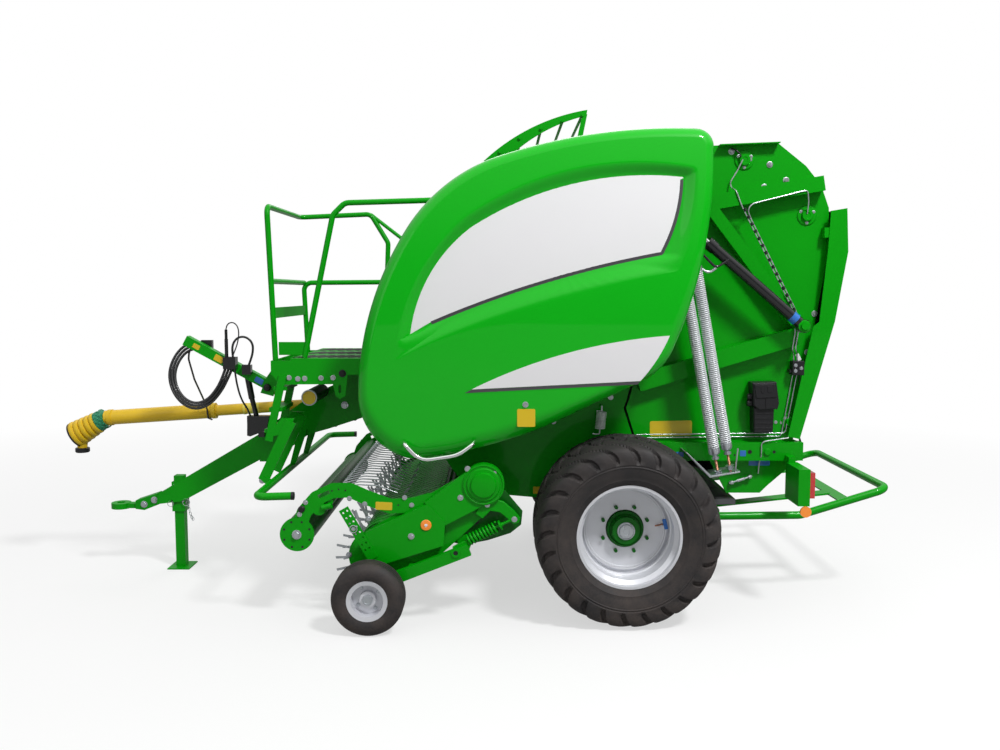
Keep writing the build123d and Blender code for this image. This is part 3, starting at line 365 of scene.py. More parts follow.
def noise_node(
    tree: bpy.types.NodeTree, vector: object, scale: object, detail: float = 3.0,
) -> bpy.types.NodeSocket:
    """Adds a Noise Texture and returns its factor."""
    inputs = {"Vector": vector, "Scale": scale, "Detail": detail}
    return add_node(tree, "ShaderNodeTexNoise", inputs).outputs[0]


def mix_colour(
    tree: bpy.types.NodeTree, share: object, first: object, second: object,
) -> bpy.types.NodeSocket:
    """Adds a colour Mix node and returns its result."""
    node = add_node(tree, "ShaderNodeMix", data_type="RGBA")
    for socket, value in ((node.inputs[0], share), (node.inputs[6], first), (node.inputs[7], second)):
        if isinstance(value, bpy.types.NodeSocket):
            tree.links.new(value, socket)
        else:
            socket.default_value = value
    return node.outputs[2]


def rgba(colour: Colour) -> tuple[float, float, float, float]:
    """A colour with full cover."""
    return (*colour, 1.0)


class Groups:
    """The shader node groups that several finishes share, each built once."""

    def __init__(self) -> None:
        """Builds every group."""
        self.grime = self._grime()
        self.skin = self._skin()
        self.streak = self._streak()

    @staticmethod
    def _new(
        name: str, inputs: Sequence[tuple[str, str, object]], outputs: Sequence[tuple[str, str]]
    ) -> tuple[bpy.types.NodeTree, bpy.types.Node, bpy.types.Node]:
        """Makes an empty group with its sockets.

        Args:
            name: The group's name.
            inputs: Name, socket type and default of each input.
            outputs: Name and socket type of each output.

        Returns:
            The group, its input node and its output node.
        """
        tree = bpy.data.node_groups.new(name, "ShaderNodeTree")
        for label, kind, default in inputs:
            socket = tree.interface.new_socket(name=label, in_out="INPUT", socket_type=kind)
            socket.default_value = default
        for label, kind in outputs:
            tree.interface.new_socket(name=label, in_out="OUTPUT", socket_type=kind)
        return tree, tree.nodes.new("NodeGroupInput"), tree.nodes.new("NodeGroupOutput")

    def _grime(self) -> bpy.types.NodeTree:
        """Uneven tone and road dust: a cloudy change of tone, and dust that thickens towards the ground."""
        tree, given, out = self._new(
            "Road dust",
            [
                ("Base", RGB, (0.5, 0.5, 0.5, 1.0)),
                ("Dust", RGB, (0.3, 0.26, 0.2, 1.0)),
                ("Amount", FLOAT, 0.1),
                ("Variation", FLOAT, 0.08),
                ("Scale", FLOAT, 3.0),
            ],
            [("Colour", RGB), ("Mask", FLOAT)],
        )
        place = add_node(tree, "ShaderNodeTexCoord").outputs["Object"]
        cloud = noise_node(tree, place, given.outputs["Scale"])
        speck = noise_node(tree, place, 90.0, 4.0)
        height = add_node(tree, "ShaderNodeSeparateXYZ", {0: place}).outputs["Z"]
        low = ramp_node(tree, height, 0.0, 1.2, 1.0, 0.15)
        patch = ramp_node(
            tree, math_node(tree, "ADD", cloud, math_node(tree, "MULTIPLY", speck, 0.5)), 0.55, 1.05,
        )
        mask = math_node(tree, "MULTIPLY", math_node(tree, "MULTIPLY", patch, low), given.outputs["Amount"])
        tone = math_node(
            tree, "MULTIPLY", math_node(tree, "SUBTRACT", cloud, 0.5), given.outputs["Variation"],
        )
        bright = math_node(tree, "ADD", 1.0, math_node(tree, "MULTIPLY", tone, 2.0))
        base = add_node(
            tree, "ShaderNodeHueSaturation", {"Color": given.outputs["Base"], "Value": bright},
        ).outputs[0]
        tree.links.new(mix_colour(tree, mask, base, given.outputs["Dust"]), out.inputs["Colour"])
        tree.links.new(mask, out.inputs["Mask"])
        return tree

    def _skin(self) -> bpy.types.NodeTree:
        """Fine unevenness: two sizes of noise as a bump, such as paint's orange peel or a casting."""
        tree, given, out = self._new(
            "Skin",
            [
                ("Scale", FLOAT, 200.0),
                ("Strength", FLOAT, 0.1),
                ("Depth", FLOAT, 0.001),
            ],
            [("Normal", VECTOR)],
        )
        place = add_node(tree, "ShaderNodeTexCoord").outputs["Object"]
        fine = noise_node(tree, place, given.outputs["Scale"], 2.0)
        coarse = noise_node(tree, place, math_node(tree, "MULTIPLY", given.outputs["Scale"], 0.12), 2.0)
        height = math_node(tree, "ADD", fine, math_node(tree, "MULTIPLY", coarse, 2.0))
        bump = add_node(
            tree,
            "ShaderNodeBump",
            {"Strength": given.outputs["Strength"], "Distance": given.outputs["Depth"], "Height": height},
        )
        tree.links.new(bump.outputs[0], out.inputs["Normal"])
        return tree

    def _streak(self) -> bpy.types.NodeTree:
        """Fine streaks along one axis, such as drawn or brushed steel: noise stretched along Z."""
        tree, given, out = self._new(
            "Streaks",
            [("Scale", FLOAT, 60.0), ("Low", FLOAT, 0.3), ("High", FLOAT, 0.5)],
            [("Value", FLOAT)],
        )
        place = add_node(tree, "ShaderNodeTexCoord").outputs["Object"]
        spread = add_node(tree, "ShaderNodeMapping", {"Vector": place, "Scale": (1.0, 1.0, 0.06)}).outputs[0]
        value = noise_node(tree, spread, given.outputs["Scale"], 4.0)
        lifted = ramp_node(tree, value, 0.35, 0.65, given.outputs["Low"], given.outputs["High"])
        tree.links.new(lifted, out.inputs["Value"])
        return tree


@dataclass(frozen=True)
class Finish:
    """One finish: its colour, gloss, coat, unevenness and dust."""

    label: str
    slot: str
    colour: Colour
    rough: float = 0.3
    metallic: float = 0.0
    coat: float = 0.0
    coat_rough: float = 0.05
    specular: float = 0.5
    skin_scale: float = 220.0
    skin_strength: float = 0.05
    skin_depth: float = 0.0006
    dust: Colour = (0.30, 0.27, 0.22)
    dusty: float = 0.06
    variation: float = 0.05
    cloud: float = 3.0
    streaks: float = 0.0
    glow: float = 0.0

    def make(self, groups: Groups) -> bpy.types.Material:
        """Builds the material.

        Args:
            groups: The shared node groups.

        Returns:
            The material, with its Principled shader set up.
        """
        material = bpy.data.materials.new(self.label)
        material.use_nodes = True
        tree = material.node_tree
        shader = tree.nodes["Principled BSDF"]
        settings = {
            "Base": rgba(self.colour), "Dust": rgba(self.dust), "Amount": self.dusty,
            "Variation": self.variation, "Scale": self.cloud,
        }
        grime = add_node(tree, GROUPED, settings, node_tree=groups.grime)
        settings = {"Scale": self.skin_scale, "Strength": self.skin_strength, "Depth": self.skin_depth}
        skin = add_node(tree, GROUPED, settings, node_tree=groups.skin)
        tree.links.new(grime.outputs["Colour"], shader.inputs["Base Color"])
        tree.links.new(skin.outputs["Normal"], shader.inputs["Normal"])
        if self.streaks:
            settings = {"Scale": self.streaks, "Low": self.rough * 0.75, "High": self.rough * 1.3}
            rough = add_node(tree, GROUPED, settings, node_tree=groups.streak).outputs["Value"]
        else:
            rough = math_node(
                tree, "ADD", self.rough, math_node(tree, "MULTIPLY", grime.outputs["Mask"], 0.5),
            )
        tree.links.new(rough, shader.inputs["Roughness"])
        plain = {
            "Metallic": self.metallic, "Coat Weight": self.coat, "Coat Roughness": self.coat_rough,
            "Specular IOR Level": self.specular,
        }
        # emission in the finish's own colour: the lamps' faint glow, and painted light on the amber
        # reflectors
        if self.glow:
            plain |= {"Emission Color": rgba(self.colour), "Emission Strength": self.glow}
        for name, value in plain.items():
            shader.inputs[name].default_value = value
        return material


class Look(Enum):
    """Every finish of the machine."""

    GREEN = Finish(
        "green_paint", "green_paint", (0.0, 0.33, 0.002), 0.40, coat=0.16, specular=0.14, skin_strength=0.05,
        dusty=0.006, variation=0.06,
    )
    # green paint darkened as painted shade, for the parts that lie in shadow
    GREEN_SHADED = Finish(
        "shade_darkened_green", "dark_green", (0.0, 0.125, 0.003), 0.4, coat=0.16, specular=0.18, dusty=0.008,
    )
    COVER = Finish(
        "cover_green", "cover_panel", (0.0, 0.45, 0.005), 0.40, coat=0.50, coat_rough=0.03, specular=0.12,
        skin_scale=160.0, skin_strength=0.03, dusty=0.004, variation=0.04, cloud=1.6,
    )
    WHITE = Finish(
        "white_foil", "cover_panel", (0.83, 0.825, 0.84), 0.4, coat=0.2, dusty=0.01, variation=0.015,
    )
    STRIPE = Finish("grey_stripe", "cover_panel", (0.055, 0.05, 0.06), 0.35, coat=0.3, dusty=0.03)
    SILVER = Finish(
        "silver_rim_paint", "silver_rim", (0.70, 0.71, 0.75), 0.36, metallic=0.25, coat=0.4, dusty=0.05,
        variation=0.03,
    )
    TYRE = Finish(
        "tyre_rubber", "tyre", (0.028, 0.026, 0.027), 0.60, specular=0.3, skin_scale=130.0,
        skin_strength=0.25, dust=(0.150, 0.112, 0.092), dusty=0.36, variation=0.2, cloud=9.0,
    )
    ZINC = Finish(
        "zinc_plated_steel", "galvanised", (0.50, 0.53, 0.56), 0.34, metallic=0.85, streaks=70.0, dusty=0.03,
        variation=0.12, cloud=25.0,
    )
    SPRING = Finish(
        "spring_steel", "galvanised", (0.74, 0.76, 0.79), 0.42, metallic=0.1, dusty=0.02, variation=0.06,
        cloud=20.0,
    )
    SHADE = Finish("spring_shade", "black_steel", (0.035, 0.04, 0.042), 0.6, dusty=0.0)
    BELL = Finish(
        "yellow_bell_plastic", "yellow_guard", (0.76, 0.50, 0.008), 0.42, skin_strength=0.1,
        dust=(0.20, 0.14, 0.05), dusty=0.25, variation=0.14, cloud=14.0,
    )
    TAPE = Finish("pale_yellow_tape", "yellow_guard", (0.86, 0.72, 0.10), 0.35, dusty=0.05)
    COPPER = Finish("copper_rod", "galvanised", (0.50, 0.24, 0.15), 0.35, metallic=0.9, streaks=80.0)
    CHROME = Finish(
        "chrome", "chrome_handle", (0.78, 0.79, 0.80), 0.08, metallic=1.0, dusty=0.0, skin_strength=0.0,
    )
    BLACK = Finish(
        "black_enamel", "black_steel", (0.010, 0.010, 0.012), 0.24, coat=0.5, specular=0.3, dusty=0.008,
    )
    PLASTIC = Finish(
        "black_plastic", "black_plastic", (0.014, 0.014, 0.016), 0.42, specular=0.3, dusty=0.01,
        skin_scale=400.0, skin_strength=0.2,
    )
    YELLOW = Finish(
        "yellow_guard_plastic", "yellow_guard", (0.82, 0.53, 0.012), 0.40, skin_strength=0.08, dusty=0.06,
        variation=0.1, cloud=8.0,
    )
    TEAL = Finish("teal_collar_plastic", "teal_collar", (0.01, 0.25, 0.12), 0.4, dusty=0.1)
    BELT = Finish("belt_rubber", "belt_rubber", (0.02, 0.02, 0.021), 0.7, skin_scale=260.0, skin_strength=0.4)
    CAST = Finish(
        "cast_steel", "cast_steel", (0.10, 0.10, 0.11), 0.5, metallic=0.6, skin_scale=180.0,
        skin_strength=0.35, dusty=0.2, variation=0.2,
    )
    RED = Finish("red_lens", "red_lens", (0.55, 0.01, 0.01), 0.12, coat=1.0, glow=0.05)
    # the amber reflectors glow a little: painted light, a glint of reflected light
    AMBER = Finish("amber_lens", "amber_lens", (0.95, 0.26, 0.01), 0.15, coat=1.0, glow=0.10)
    GREY = Finish("dark_grey_sheet", "dark_grey", (0.06, 0.062, 0.068), 0.25, coat=0.6)
    HOSE = Finish(
        "hose_rubber", "hose_rubber", (0.014, 0.014, 0.016), 0.38, coat=0.2, skin_scale=500.0,
        skin_strength=0.1,
    )
    BLANK_YELLOW = Finish("yellow_plate", "yellow_guard", (0.72, 0.50, 0.006), 0.35, coat=0.3, dusty=0.04)
    BLANK_BLUE = Finish("blue_plate", "hose_rubber", (0.02, 0.16, 0.55), 0.35, coat=0.3, dusty=0.03)
    GRIT = Finish(
        "grip_strip", "black_plastic", (0.05, 0.045, 0.05), 0.85, skin_scale=700.0, skin_strength=0.7,
        skin_depth=0.001,
    )


class Paintbox:
    """Makes each finish's material the first time that it is asked for."""

    def __init__(self) -> None:
        """Builds the shared groups."""
        self.groups = Groups()
        self.made: dict[Look, bpy.types.Material] = {}

    def of(self, look: Look) -> bpy.types.Material:
        """The material of a finish."""
        if look not in self.made:
            self.made[look] = look.value.make(self.groups)
        return self.made[look]

    def add(
        self, name: str, shells: Iterable[Surface], look: Look, body: str, sharp: float = 35.0, slot: str = ""
    ) -> bpy.types.Object:
        """Makes a piece in one of the finishes.

        Args:
            name: The piece's name.
            shells: Its surfaces.
            look: Its finish.
            body: The body that carries it.
            sharp: Edges sharper than this many degrees stay sharp.
            slot: Not used.

        Returns:
            The object.
        """
        return make_piece(name, shells, self.of(look), body, sharp)


# ---------------------------------------------------------------- studio
class Studio:
    """The camera, lamps, world, floor and backdrop."""

    camera_place: Point = (0.270, -6.32, 1.895)
    camera_drop: float = math.radians(5.1)
    sensor: float = 36.0
    lens: float = 33.48
    sky: Flat = (0.10, 0.62)
    mirrored_sky: Flat = (0.12, 1.15)
    mirrored_white: float = 0.35
    floor_seen: float = 0.9
    floor_lit: float = 0.34
    white_from: float = 3.5
    white_to: float = 9.0
    floor_half: float = 40.0

    def build(self) -> None:
        """Builds them all."""
        self._camera()
        self._world()
        self._lamps()
        self._floor()

    def _camera(self) -> None:
        """Sets the camera level in roll, and turned down a little."""
        data = bpy.data.cameras.new("camera")
        data.sensor_width, data.lens, data.clip_end = self.sensor, self.lens, 200.0
        camera = bpy.data.objects.new("camera", data)
        bpy.context.scene.collection.objects.link(camera)
        camera.location = self.camera_place
        camera.rotation_euler = (math.pi / 2 - self.camera_drop, 0.0, 0.0)
        bpy.context.scene.camera = camera

    def _seen_white(self, tree: bpy.types.NodeTree) -> bpy.types.NodeSocket:
        """One for camera, glossy and transmission rays, and nought for the rest."""
        path = add_node(tree, "ShaderNodeLightPath")
        mirrored = math_node(tree, "MULTIPLY", path.outputs["Is Glossy Ray"], self.mirrored_white)
        either = math_node(tree, "MAXIMUM", path.outputs["Is Camera Ray"], mirrored)
        return math_node(tree, "MAXIMUM", either, path.outputs["Is Transmission Ray"])

    def _world(self) -> None:
        """A pale sky: white to the camera, and a softer grey that lights the machine."""
        world = bpy.data.worlds.new("studio")
        bpy.context.scene.world = world
        world.use_nodes = True
        tree = world.node_tree
        shader = tree.nodes["Background"]
        way = add_node(
            tree, "ShaderNodeSeparateXYZ", {0: add_node(tree, "ShaderNodeTexCoord").outputs["Generated"]},
        )
        path = add_node(tree, "ShaderNodeLightPath")
        sky = ramp_node(tree, way.outputs["Z"], -0.2, 0.8, *self.sky)
        mirrored = ramp_node(tree, way.outputs["Z"], 0.10, 0.60, *self.mirrored_sky)
        apart = math_node(tree, "SUBTRACT", mirrored, sky)
        level = math_node(tree, "ADD", sky, math_node(tree, "MULTIPLY", apart, path.outputs["Is Glossy Ray"]))
        level = math_node(tree, "MAXIMUM", level, path.outputs["Is Camera Ray"])
        tree.links.new(level, shader.inputs["Strength"])
        shader.inputs["Color"].default_value = rgba(PURE_WHITE)

    def _lamps(self) -> None:
        """A broad key from the upper front right, and a soft fill from the left."""
        for name, place, size, power, aim in (
            ("key", (4.5, -6.0, 9.0), 1.6, 820.0, (0.2, 0.0, 1.2)),
            ("fill", (-6.0, -7.0, 4.0), 5.0, 55.0, (0.0, 0.0, 1.2)),
            ("back", (1.0, 8.0, 7.0), 5.0, 150.0, (0.0, 0.0, 1.2)),
        ):
            data = bpy.data.lights.new(name, "AREA")
            data.shape, data.size, data.energy = "DISK", size, power
            lamp = bpy.data.objects.new(name, data)
            bpy.context.scene.collection.objects.link(lamp)
            lamp.location = place
            way = np.asarray(aim) - np.asarray(place)
            lamp.rotation_euler = (
                math.atan2(math.hypot(way[0], way[1]), -way[2]),
                0.0,
                math.atan2(way[1], way[0]) - math.pi / 2,
            )

    def _floor(self) -> None:
        """A pale floor that keeps a soft shadow near the machine and melts into the backdrop."""
        material = bpy.data.materials.new("pale_floor")
        material.use_nodes = True
        tree = material.node_tree
        tree.nodes.clear()
        place = add_node(tree, "ShaderNodeTexCoord").outputs["Object"]
        far = add_node(tree, "ShaderNodeVectorMath", {0: place}, operation="LENGTH").outputs["Value"]
        away = ramp_node(tree, far, self.white_from, self.white_to, 0.60, 1.0)
        seen = add_node(tree, "ShaderNodeLightPath").outputs["Is Camera Ray"]
        tone = mix_colour(tree, seen, rgba((self.floor_lit,) * 3), rgba((self.floor_seen,) * 3))
        plain = add_node(tree, "ShaderNodeBsdfDiffuse", {"Color": tone})
        white = add_node(tree, "ShaderNodeEmission", {"Color": rgba(PURE_WHITE), "Strength": 1.0})
        share = math_node(tree, "MULTIPLY", away, self._seen_white(tree))
        mixed = add_node(tree, "ShaderNodeMixShader", {0: share, 1: plain.outputs[0], 2: white.outputs[0]})
        out = add_node(tree, "ShaderNodeOutputMaterial", {"Surface": mixed.outputs[0]})
        out.is_active_output = True
        half = self.floor_half
        mesh = bpy.data.meshes.new("floor")
        mesh.from_pydata(
            [(-half, -half, 0), (half, -half, 0), (half, half, 0), (-half, half, 0)], [], [(0, 1, 2, 3)],
        )
        mesh.materials.append(material)
        floor = bpy.data.objects.new("floor", mesh)
        bpy.context.scene.collection.objects.link(floor)


# ---------------------------------------------------------------- the frame's own parts
@dataclass
class FrameParts:
    """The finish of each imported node, by name."""

    looks: dict[Look, tuple[str, ...]] = field(
        default_factory=lambda: {
            Look.TYRE: ("tyre_left", "tyre_right", "gauge_tyre_left", "gauge_tyre_right"),
            Look.SILVER: ("rim_left", "rim_right", "gauge_rim_left", "gauge_rim_right"),
            # the darkened green on these nodes is painted shade
            Look.GREEN_SHADED: ("hub_left", "hub_right", "axle", "crop_rollers", "feed_rotor", "front_hood"),
            Look.ZINC: ("tension_springs", "grease_pipes", "pickup_reel", "guide_rods"),
            Look.CHROME: (
                "cover_handle_left", "cover_handle_right", "cylinder_rod_left", "cylinder_rod_right",
            ),
            Look.BLACK: ("cylinder_barrel_left", "cylinder_barrel_right", "hose_fittings"),
            Look.PLASTIC: ("oiler_box",), Look.RED: ("lamps",), Look.AMBER: ("side_reflectors",),
            Look.YELLOW: ("shaft_guard", "shaft_bell"), Look.TEAL: ("shaft_collar",),
            Look.CAST: ("shaft_yoke", "gearbox", "tailgate_rollers"), Look.BELT: ("bale_belts",),
            Look.COVER: ("side_cover_left", "side_cover_right"), Look.GREY: ("ramp_plate",),
        }
    )

    def build(self, paint: Paintbox) -> None:
        """Puts each node's finish on it; what isn't named is painted green."""
        named = {node: look for look, nodes in self.looks.items() for node in nodes}
        for name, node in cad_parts.items():
            material = paint.of(named.get(name, Look.GREEN))
            node.data.materials.clear()
            node.data.materials.append(material)
            node.data.shade_smooth()
            node.data.set_sharp_from_angle(angle=math.radians(30))


# ---------------------------------------------------------------- curves in the machine's side plane
def arc(start: Flat, middle: Flat, end: Flat, count: int = 24) -> np.ndarray:
    """Points on the circle through three points, from the first to the last.

    Args:
        start: First point.
        middle: A point that the arc passes through.
        end: Last point.
        count: How many points come back.

    Returns:
        The points, one a row.
    """
    a, b, c = (np.asarray(point, float) for point in (start, middle, end))
    centre = np.linalg.solve(np.array([b - a, c - b]), [(b - a) @ (a + b) / 2, (c - b) @ (b + c) / 2])
    away = np.array([a, b, c]) - centre
    turns = np.unwrap(np.arctan2(away[:, 1], away[:, 0]))
    sweep = np.linspace(turns[0], turns[2], count)
    return centre + np.hypot(*away[0]) * np.stack([np.cos(sweep), np.sin(sweep)], axis=1)


def chain(start: Flat, *steps: tuple[Flat, Flat, int]) -> np.ndarray:
    """Arcs laid end to end.

    Args:
        start: Where the first arc starts.
        steps: A middle point, an end and a number of points for each arc.

    Returns:
        The points, one a row, each end once.
    """
    runs = [np.array([start])]
    for middle, end, count in steps:
        runs.append(arc(start, middle, end, count)[1:])
        start = end
    return np.vstack(runs)


def rays(curve: np.ndarray, centre: np.ndarray, turns: np.ndarray) -> np.ndarray:
    """Where rays from a centre meet a closed curve that lies all round it.

    Args:
        curve: Points of the curve.
        centre: Where the rays start.
        turns: Their angles.

    Returns:
        One meeting point for each angle.
    """
    away = curve - centre
    distance = np.interp(
        turns, np.arctan2(away[:, 1], away[:, 0]), np.hypot(away[:, 0], away[:, 1]), period=2 * math.pi,
    )
    return centre + distance[:, None] * np.stack([np.cos(turns), np.sin(turns)], axis=1)


def smooth(value: np.ndarray, low: float, high: float) -> np.ndarray:
    """Nought below a value, one above another, and a soft step between them."""
    share = np.clip((value - low) / (high - low), 0.0, 1.0)
    return share * share * (3 - 2 * share)


# ---------------------------------------------------------------- side covers
@dataclass
class SideCover:
    """One lifting side cover: rolled edge, recess, foils, grey stripes, a blank plate and its bolt."""

    side: int
    tag: str
    face: float = 1.150
    crown: float = 0.052
    middle: float = 1.75
    half_height: float = 0.925
    roll: float = 0.058
    recess: float = 0.040
    inner: float = 0.705
    skin: float = 0.005
    centre: Flat = (0.5765, 2.135)
    bend: float = 0.80 * math.pi / 2
    edge_drop: float = 0.078
    rear_inner: float = 1.02
    foil_lift: float = 0.0012
    tip: Flat = (-0.234, 1.659)
    stripe: float = 0.0185

    def rim(self) -> np.ndarray:
        """The cover's outline."""
        upper = chain(
            (-0.535, 1.333), ((-0.461, 1.793), (-0.239, 2.273), 24), ((-0.050, 2.480), (0.213, 2.635), 24),
            ((0.700, 2.762), (1.360, 2.806), 24), ((1.437, 2.775), (1.464, 2.680), 24),
            ((1.420, 2.150), (1.255, 1.592), 40), ((1.190, 1.480), (1.075, 1.392), 24),
        )
        lower = chain(
            (0.616, 1.172), ((0.155, 1.008), (-0.251, 0.943), 24), ((-0.444, 1.060), (-0.535, 1.333), 24),
        )
        return np.vstack([upper, np.linspace(upper[-1], lower[0], 24)[1:-1], lower[:-1]])

    @staticmethod
    def recess_edge() -> np.ndarray:
        """Where the face turns down into the recess."""
        return chain(
            (-0.311, 1.520), ((-0.175, 2.000), (0.066, 2.300), 24), ((0.520, 2.530), (1.325, 2.588), 24),
            ((1.352, 2.578), (1.3615, 2.550), 8), ((1.340, 2.280), (1.262, 2.030), 24),
            ((1.252, 2.014), (1.232, 2.008), 8), ((0.500, 1.842), (-0.295, 1.536), 24),
            ((-0.306, 1.527), (-0.311, 1.521), 6),
        )

    @staticmethod
    def panel_edge() -> np.ndarray:
        """The edge of the white panel in the recess."""
        return chain(
            (-0.234, 1.659), ((-0.112, 2.010), (0.104, 2.250), 24), ((0.560, 2.462), (1.285, 2.532), 24),
            ((1.290, 2.530), (1.291, 2.524), 5), ((1.258, 2.300), (1.186, 2.118), 24),
            ((1.178, 2.103), (1.160, 2.097), 6), ((0.560, 1.955), (-0.230, 1.661), 40),
        )

    def depth(self, z: np.ndarray) -> np.ndarray:
        """How far out the crowned face lies at a height."""
        return self.face - self.crown * ((z - self.middle) / self.half_height) ** 2

    def columns(self) -> np.ndarray:
        """Angles of the mesh's rays, with one at each corner of its curves."""
        corners = np.array(
            [
                (1.3615, 2.550), (1.325, 2.588), (1.232, 2.008), (-0.311, 1.520), (-0.234, 1.659),
                (1.291, 2.528),
            ]
        )
        away = corners - self.centre
        regular = np.linspace(-math.pi, math.pi, 320, endpoint=False)
        return np.unique(np.concatenate([regular, np.arctan2(away[:, 1], away[:, 0])]))

    def rows(self) -> list[np.ndarray]:
        """Rings of the shell, from the middle of its outside over the rim to the middle of its inside."""
        turns = self.columns()
        centre = np.asarray(self.centre)
        rim, recess, panel = (
            rays(curve, centre, turns) for curve in (self.rim(), self.recess_edge(), self.panel_edge())
        )
        along = unit(np.roll(rim, -1, axis=0) - np.roll(rim, 1, axis=0))
        inward = np.stack([-along[:, 1], along[:, 0]], axis=1)
        width = (self.roll + 0.034 * smooth(-rim[:, 1], -1.35, -1.0))[:, None]
        ridge = rim + inward * width
        face = self.depth(rim[:, 1])
        rings = []

        def ring(flat: np.ndarray, depth: np.ndarray | float) -> None:
            rings.append(np.column_stack([flat[:, 0], np.broadcast_to(depth, len(flat)), flat[:, 1]]))

        for share in (0.02, 0.3, 0.6, 0.85, 0.99):
            flat = centre + (panel - centre) * share
            ring(flat, self.depth(flat[:, 1]) - self.recess)
        for share in np.linspace(0.0, 1.0, 12):
            flat = panel + (recess - panel) * share
            ring(flat, self.depth(flat[:, 1]) - self.recess * (1 - smooth(share, -0.12, 1.06)))
        for share in (0.03, 0.12, 0.3, 0.5, 0.7, 0.88, 0.97):
            flat = recess + (ridge - recess) * share
            ring(flat, self.depth(flat[:, 1]))
        full = self.bend
        ridge_depth = self.depth(ridge[:, 1])
        for step in np.linspace(full, 0.0, 9):
            flat = rim + inward * width * (1 - math.cos(step)) / (1 - math.cos(full))
            ring(flat, ridge_depth - self.edge_drop * (1 - math.sin(step) / math.sin(full)))
        open_rear = smooth(rim[:, 0], 1.03, 1.06) * smooth(rim[:, 1], 1.44, 1.47) * (
            1 - smooth(rim[:, 1], 2.72, 2.73)
        )
        end = self.inner + (self.rear_inner - self.inner) * open_rear
        for share in (0.3, 0.65, 0.98):
            ring(rim, face - 0.085 + (end - face + 0.085) * share)
        ring(rim + inward * 0.0005, end)
        ring(rim + inward * (self.skin - 0.0005), end)
        ring(rim + inward * self.skin, end + 0.002)
        ring(rim + inward * self.skin, ridge_depth - 0.08 - self.skin)
        ring(rim + inward * width, ridge_depth - self.skin - 0.002)
        ring(recess, self.depth(recess[:, 1]) - self.skin)
        ring(panel, self.depth(panel[:, 1]) - self.recess - self.skin)
        ring(centre + (panel - centre) * 0.02, self.depth(centre[1]) - self.recess - self.skin)
        return rings

    def shell(self) -> Surface:
        """The shell as one closed surface."""
        rings = self.rows()
        points = np.vstack(rings)
        points[:, 1] *= self.side
        count = len(rings[0])
        caps = [np.arange(count)[::-1], np.arange(count) + (len(rings) - 1) * count]
        return Surface(points, grid_quads(len(rings), count, False, True), caps)

    def foil(self, low: np.ndarray, high: np.ndarray, drop: float, rows: int = 8) -> Surface:
        """A thin foil on the face between two curves of as many points.

        Args:
            low: Its lower edge.
            high: Its upper edge.
            drop: How deep under the face it lies.
            rows: Rows of faces.

        Returns:
            The foil, turned down at its edges.
        """
        shares = np.concatenate([[0.0], np.linspace(0.0, 1.0, rows), [1.0]])[:, None, None]
        flat = low[None] + (high - low)[None] * shares
        lift = np.full(flat.shape[:2], self.foil_lift)
        lift[[0, -1]] = -0.001
        depth = (self.depth(flat[..., 1]) - drop + lift) * self.side
        points = np.stack([flat[..., 0], depth, flat[..., 1]], axis=-1).reshape(-1, 3)
        return Surface(points, grid_quads(len(shares), len(low)))

    def panel_foils(self) -> tuple[Surface, Surface]:
        """The white foil in the recess and the grey stripe along its lower and rear edges."""
        turns = self.columns()
        centre = np.asarray(self.centre)
        edge = centre + (rays(self.panel_edge(), centre, turns) - centre) * 0.9985
        along = unit(np.roll(edge, -1, axis=0) - np.roll(edge, 1, axis=0))
        inward = np.stack([-along[:, 1], along[:, 0]], axis=1)
        from_tip = smooth(np.hypot(edge[:, 0] - self.tip[0], edge[:, 1] - self.tip[1]), 0.0, 0.05)
        striped = (turns < 0.50) & (turns > math.atan2(self.tip[1] - centre[1], self.tip[0] - centre[0]))
        width = np.where(striped, self.stripe * from_tip, 0.0)[:, None]
        inside = edge + inward * width
        count = len(turns)
        rings = []
        for number, share in enumerate((1.0, 1.0, 0.8, 0.5, 0.2, 0.02)):
            lift = self.foil_lift if number else -0.001
            flat = centre + (inside - centre) * share
            depth = (self.depth(flat[:, 1]) - self.recess + lift) * self.side
            rings.append(np.column_stack([flat[:, 0], depth, flat[:, 1]]))
        white = Surface(
            np.vstack(rings), grid_quads(len(rings), count, False, True),
            [np.arange(count) + (len(rings) - 1) * count],
        )
        picked = np.flatnonzero(striped)
        return white, self.foil(edge[picked], inside[picked], self.recess, 3)

    def lower_foils(self) -> tuple[Surface, Surface]:
        """The white wedge low on the face and the grey stripe under it."""
        top = arc((0.117, 1.3546), (0.500, 1.512), (1.2147, 1.653), 40)
        side = arc((1.2147, 1.653), (1.150, 1.526), (1.058, 1.402), 14)
        bottom = np.linspace((0.112, 1.352), (1.055, 1.399), len(top))
        high = np.vstack([top, side[1:]])
        low = np.vstack([bottom, np.repeat(bottom[-1:], len(side) - 1, axis=0)])
        shade = np.linspace((0.072, 1.331), (1.040, 1.3795), len(top))
        edge = np.linspace((0.110, 1.3505), (1.054, 1.3975), len(top))
        return self.foil(low, high, 0.0, 10), self.foil(shade, edge, 0.0, 3)

